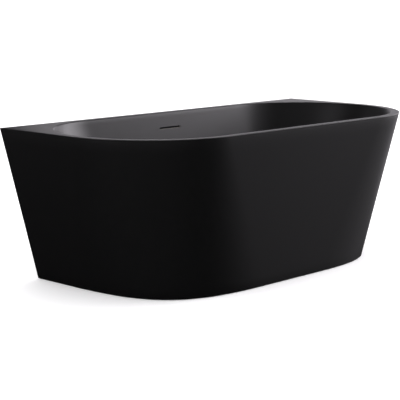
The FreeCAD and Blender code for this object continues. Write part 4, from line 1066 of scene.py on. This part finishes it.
# ---- waste and plug ----
def build_plug():
    """Domed cap with a softly rounded edge, its seal, and the spring under it."""
    rim = PLUG_SEAT + 0.002
    boss_bottom = PLUG_SEAT - 0.005
    profile = [(AXIS, boss_bottom), (0.0031, boss_bottom), (PLUG_BOSS_RADIUS - 0.0005, boss_bottom),
               (PLUG_BOSS_RADIUS, boss_bottom + 0.0005), (PLUG_BOSS_RADIUS, rim), (0.0295, rim),
               (0.0306, rim + 0.0005), (PLUG_RADIUS, rim + 0.0013), (0.0307, rim + 0.0021),
               (0.0300, rim + 0.0027)]
    for fraction in spaced(12, 0.93, 0.0):
        profile.append((max(PLUG_RADIUS * fraction, AXIS), rim + 0.0050 - 0.0025 * fraction ** 2))
    hardware("plug_cap_domed", [lathe_solid(profile, 96)], "black_metal", "plug_cap",
             "plug", sharp_degrees=50.0)

    underside = PLUG_SEAT + 0.0001           # the seal just clears the flange when the plug is down
    bore = PLUG_BOSS_RADIUS + 0.0003
    seal = lathe_rounded([(bore, underside), (PLUG_SEAL_RADIUS, underside),
                          (PLUG_SEAL_RADIUS, rim), (bore, rim)],
                         [0.0003, 0.0009, 0.0002, 0.0002], 4, 72)
    hardware("plug_seal_lipped", [seal], "rubber", "plug_seal", "plug")

    low, high, radius, wire, turns = 0.1505, 0.1695, 0.0046, 0.0005, 6.0
    rows = []
    for fraction in spaced(int(turns * 20) + 1):
        angle = 2 * math.pi * turns * fraction
        outward = Vector((math.cos(angle), math.sin(angle), 0.0))
        centre = outward * radius + Vector((0.0, 0.0, mix(low, high, fraction)))
        rows.append([tuple(centre + outward * (wire * math.cos(a))
                           + Vector((0.0, 0.0, wire * math.sin(a)))) for a in angles_round(8)])
    spring = hardware("plug_spring_coil", [capped_rows(rows)], "zinc", "plug_spring",
                      sharp_degrees=60.0)
    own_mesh(spring)


def build_waste():
    """Flange with its spoked bore, and the threaded body under the bowl."""
    seat = FLANGE_TOP - FLANGE_THICKNESS
    flange = lathe_rounded([(TAIL_BORE, TAIL_BOTTOM), (TAIL_BORE, FLANGE_TOP - 0.005),
                            (0.0195, FLANGE_TOP), (FLANGE_RADIUS, FLANGE_TOP),
                            (FLANGE_RADIUS, seat), (TAIL_RADIUS, seat), (TAIL_RADIUS, TAIL_BOTTOM)],
                           [0.0004, 0.001, 0.0008, 0.0015, 0.0004, 0.0003, 0.0004], 5, 96)
    boss = lathe_rounded([(0.0053, TAIL_BOTTOM), (0.0053, SPOKES_TOP), (0.008, SPOKES_TOP),
                          (0.008, TAIL_BOTTOM)], 0.0004, 2, 48)
    spoke = soft_box((0.0075, -0.0015, TAIL_BOTTOM), (0.0178, 0.0015, SPOKES_TOP), 0.0005)
    hardware("waste_flange_turned", [flange, boss] + around(spoke, 3), "black_metal",
             "waste_flange")

    body = [(WASTE_BODY_BORE, WASTE_BODY_BOTTOM), (WASTE_BODY_BORE, WASTE_BODY_TOP),
            (0.033, WASTE_BODY_TOP), (0.033, WASTE_BODY_TOP - 0.004),
            (0.026, WASTE_BODY_TOP - 0.004), (0.026, 0.112), (0.023, 0.112)]
    radii = [0.0003, 0.0003, 0.001, 0.001, 0.0015, 0.001, 0.0004]
    thread = []
    for k in range(6):                        # coarse plastic thread for the union nut
        z = 0.1112 - k * 0.0022
        thread += [(0.023, z), (0.0222, z - 0.0008), (0.0222, z - 0.0013), (0.023, z - 0.0020)]
    barrel = lathe_ring(rounded(body, radii, 3) + thread + [(0.0226, WASTE_BODY_BOTTOM)], 72)
    rib = soft_box((0.0255, -0.001, 0.118), (0.0315, 0.001, 0.1505), 0.0006)
    ribs = around(rib, 10, 0.5)
    del ribs[2]                               # the inlet is there
    spigot = [(0.0075, 0.020), (0.0075, 0.062), (0.0088, 0.062), (0.0095, 0.058), (0.0088, 0.0575),
              (0.0095, 0.0535), (0.0088, 0.053), (0.0095, 0.049), (0.0095, 0.034), (0.0125, 0.0335),
              (0.0125, 0.0255), (0.0095, 0.0250), (0.0095, 0.020)]
    inlet = toward_wall(lathe_ring(spigot, 40), INLET_Z)
    hardware("waste_body_moulded", [barrel, inlet] + ribs, "white_plastic", "waste_body")


# ---- trap and outlet ----
def build_trap():
    """Flat round trap with its dip tube, outlet socket, seam and ribs."""
    inner = TRAP_RADIUS - TRAP_WALL
    floor, ceiling = TRAP_BOTTOM + TRAP_WALL, TRAP_TOP - TRAP_WALL
    pot = lathe_rounded([(DIP_TUBE_BORE, 0.096), (0.0225, 0.096), (0.0225, 0.093), (0.020, 0.093),
                         (0.020, TRAP_TOP), (TRAP_RADIUS, TRAP_TOP), (TRAP_RADIUS, TRAP_BOTTOM),
                         (0.028, TRAP_BOTTOM), (0.028, 0.017), (0.0255, 0.017), (0.0255, floor),
                         (inner, floor), (inner, ceiling), (0.020, ceiling),
                         (0.020, DIP_TUBE_BOTTOM), (DIP_TUBE_BORE, DIP_TUBE_BOTTOM)],
                        [0.0, 0.0006, 0.0004, 0.0003, 0.002, 0.008, 0.004, 0.001, 0.0003, 0.0003,
                         0.0003, 0.002, 0.006, 0.001, 0.0003, 0.0003], 6, 96)
    socket = lathe_rounded([(0.0203, 0.043), (0.0203, 0.090), (0.025, 0.090), (0.025, 0.043)],
                           [0.0, 0.0005, 0.0008, 0.0], 3, 64)
    seam = lathe_rounded([(0.0545, 0.0535), (0.0545, 0.0565), (0.0554, 0.0565), (0.0554, 0.0535)],
                         0.0003, 2, 96)
    rib = soft_box((0.021, -0.001, 0.0872), (0.045, 0.001, 0.0896), 0.0006)
    hardware("trap_pot", [pot, toward_wall(socket, OUTLET_Z), seam] + around(rib, 8, 0.5),
             "white_plastic", "trap_body")


def build_trap_cap():
    """Screw-on clean-out cap with a knurled edge and a finger grip."""
    cap = [(AXIS, 0.014), (0.0305, 0.014), (0.0318, 0.0152), (0.0318, TRAP_BOTTOM),
           (0.0283, TRAP_BOTTOM), (0.0283, 0.017), (AXIS, 0.017)]
    knurl = soft_box((0.0312, -0.0012, 0.0155), (0.032, 0.0012, 0.0216), 0.0003, 1)
    grip = soft_box((-0.026, -0.0025, 0.010), (0.026, 0.0025, 0.0145), 0.0012, 3)
    hardware("trap_cap_knurled", [lathe_solid(cap, 72), grip] + around(knurl, 36),
             "white_plastic", "trap_cleanout")


def pipe_nut(z0, z1, low_bore, step_z, high_bore):
    """Hexagonal pipe nut whose bore changes its radius at step_z."""
    bore = [(low_bore, z0), (low_bore, step_z), (high_bore, step_z), (high_bore, z1)]
    return hex_nut(0.058, z0, z1, bore, 96)


def build_nuts_and_pipe():
    """Union nut over the trap, and the outlet nut and pipe behind it."""
    union = pipe_nut(0.090, 0.110, 0.0203, 0.093, 0.0233)
    hardware("union_nut_chamfered", [union], "white_plastic", "trap_union_nut", sharp_degrees=25.0)
    nut = pipe_nut(0.078, 0.098, 0.0253, 0.094, 0.0203)
    hardware("outlet_nut_chamfered", [toward_wall(nut, OUTLET_Z)], "white_plastic", "outlet_nut",
             sharp_degrees=25.0)
    bead_rear_y = PIPE_BEAD_Y + 0.004
    bead_radius = PIPE_RADIUS + 0.002
    pipe = lathe_rounded([(PIPE_BORE, PIPE_FRONT_Y), (PIPE_BORE, PIPE_REAR_Y),
                          (PIPE_RADIUS, PIPE_REAR_Y), (PIPE_RADIUS, bead_rear_y),
                          (bead_radius, bead_rear_y), (bead_radius, PIPE_BEAD_Y),
                          (PIPE_RADIUS, PIPE_BEAD_Y), (PIPE_RADIUS, PIPE_FRONT_Y)],
                         [0.0004, 0.0004, 0.0008, 0.0005, 0.0012, 0.0012, 0.0005, 0.0004], 3, 72)
    hardware("outlet_pipe_beaded", [toward_wall(pipe, OUTLET_Z)], "white_plastic", "outlet_pipe")


# ---- CAD pieces shown as they are ----
CAD_LOOKS = {
    "chipboard": ["base_board"],
    "softwood": ["back_batten"],
    "plywood": ["corner_board_left", "corner_board_right"],
    "zinc": ["side_strap_left", "side_strap_right", "wall_bracket_left", "wall_bracket_right",
             "skirt_bracket_left", "skirt_bracket_middle", "skirt_bracket_right"],
    "rubber": ["waste_top_seal", "waste_bottom_seal", "overflow_seal", "trap_seal", "outlet_seal"],
    "brass": ["plug_core", "plug_stem"],
    "hood_plastic": ["overflow_hood"],
}
CAD_EDGES = {"chipboard": 0.0006, "softwood": 0.0012, "plywood": 0.0006, "zinc": 0.0004,
             "hood_plastic": 0.0012}


def paint_cad_nodes():
    """Gives each CAD node its material, and softens the edges of the flat-sided ones."""
    for look, nodes in CAD_LOOKS.items():
        for node in nodes:
            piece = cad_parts[node]
            piece.data.materials.clear()
            piece.data.materials.append(MATERIALS[look])
            if look in CAD_EDGES:
                soften = piece.modifiers.new("soft_edges", "BEVEL")
                soften.width = CAD_EDGES[look]
                soften.segments = 2
                soften.limit_method = "ANGLE"
                soften.angle_limit = math.radians(50.0)
                soften.harden_normals = True


# ---- floor, light and camera ----
def build_floor():
    """Pale studio floor that isn't mirrored in the shell."""
    reach, count = 30.0, 9
    steps = spaced(count, -reach, reach)
    vertices = [(x, y, 0.0) for x in steps for y in steps]
    floor = make_object("studio_floor", vertices, grid_faces(count, count, False, False), [])
    material, _, _ = new_material("pale_floor", (0.92, 0.92, 0.92), 0.9, specular=0.1)
    floor.data.materials.append(material)
    floor.visible_glossy = False
    floor.visible_shadow = False


def build_world():
    """White studio for the eye and for diffuse light, dark in the shell's reflections."""
    world = bpy.data.worlds.new("studio")
    world.use_nodes = True
    tree = world.node_tree
    background = tree.nodes["Background"]
    background.inputs["Color"].default_value = (1.0, 1.0, 1.0, 1.0)
    background.inputs["Strength"].default_value = WORLD_STRENGTH
    dark = tree.nodes.new("ShaderNodeBackground")
    dark.inputs["Color"].default_value = (1.0, 1.0, 1.0, 1.0)
    dark.inputs["Strength"].default_value = WORLD_IN_REFLECTIONS
    choose = tree.nodes.new("ShaderNodeMixShader")
    path = tree.nodes.new("ShaderNodeLightPath")
    tree.links.new(path.outputs["Is Glossy Ray"], choose.inputs["Fac"])
    tree.links.new(background.outputs["Background"], choose.inputs[1])
    tree.links.new(dark.outputs["Background"], choose.inputs[2])
    tree.links.new(choose.outputs["Shader"], tree.nodes["World Output"].inputs["Surface"])
    bpy.context.scene.world = world


def softbox(name, azimuth, elevation, width, height, radiance):
    """Rectangular area light aimed at the tub. Angles in degrees; azimuth 0 is +X, 90 the wall."""
    a, e = math.radians(azimuth), math.radians(elevation)
    outward = Vector((math.cos(a) * math.cos(e), math.sin(a) * math.cos(e), math.sin(e)))
    light = bpy.data.lights.new(name, "AREA")
    light.shape = "RECTANGLE"
    light.size = 2 * LIGHT_DISTANCE * math.tan(math.radians(width / 2))
    light.size_y = 2 * LIGHT_DISTANCE * math.tan(math.radians(height / 2))
    light.color = LIGHT_TINT
    light.energy = radiance * math.pi * light.size * light.size_y
    lamp = bpy.data.objects.new(name, light)
    lamp.location = LIGHT_TARGET + outward * LIGHT_DISTANCE
    lamp.rotation_mode = "QUATERNION"
    lamp.rotation_quaternion = (-outward).to_track_quat("-Z", "Y")
    lamp.visible_camera = False
    bpy.context.scene.collection.objects.link(lamp)


def build_lights():
    """A large key on the right, strips of backdrop behind, and fill from the left and above."""
    softbox("key", -30.0, 25.0, 35.0, 15.0, 7.5)
    softbox("key_side", -5.0, 25.0, 15.0, 15.0, 2.5)
    softbox("low_key", -20.0, 8.0, 20.0, 15.0, 4.5)
    softbox("low_side", -2.0, 8.0, 20.0, 15.0, 6.0)
    softbox("backdrop", 40.0, 8.0, 35.0, 15.0, 1.6)
    softbox("backdrop_right", 15.0, 0.0, 20.0, 30.0, 0.7)
    softbox("backdrop_left", 70.0, 25.0, 15.0, 15.0, 0.7)
    softbox("left_rear", 105.0, 10.0, 20.0, 50.0, 0.4)
    softbox("left", 170.0, 10.0, 35.0, 30.0, 2.3)
    softbox("left_high", 170.0, 40.0, 25.0, 30.0, 0.7)
    softbox("left_front", 220.0, 10.0, 70.0, 30.0, 1.1)
    softbox("front_fill", -75.0, 25.0, 15.0, 15.0, 0.6)
    softbox("low_front", -25.0, -15.0, 55.0, 30.0, 0.25)
    softbox("overhead", -90.0, 80.0, 45.0, 30.0, 0.9)


def build_camera():
    azimuth, pitch = math.radians(CAMERA_AZIMUTH), math.radians(CAMERA_PITCH)
    camera = bpy.data.objects.new("camera", bpy.data.cameras.new("camera"))
    camera.data.sensor_width = 36.0
    camera.data.lens = CAMERA_LENS
    camera.location = CAMERA_PLACE
    forward = Vector((math.sin(azimuth) * math.cos(pitch), math.cos(azimuth) * math.cos(pitch),
                      -math.sin(pitch)))
    camera.rotation_mode = "QUATERNION"
    camera.rotation_quaternion = forward.to_track_quat("-Z", "Y")
    bpy.context.scene.collection.objects.link(camera)
    bpy.context.scene.camera = camera


paint_cad_nodes()
build_skirt()
build_basin()
for screw_node in ("board_screws", "batten_screws", "bracket_screws"):
    build_screws(screw_node)
for foot_number, (foot_x, foot_y) in enumerate(FEET, start=1):
    build_foot(foot_number, foot_x, foot_y)
build_foot_fixings()
build_rails()
build_uprights()
build_hose()
build_hose_clips()
build_plug()
build_waste()
build_trap()
build_trap_cap()
build_nuts_and_pipe()
build_floor()
build_world()
build_lights()
build_camera()
bpy.context.scene.view_settings.view_transform = "Standard"
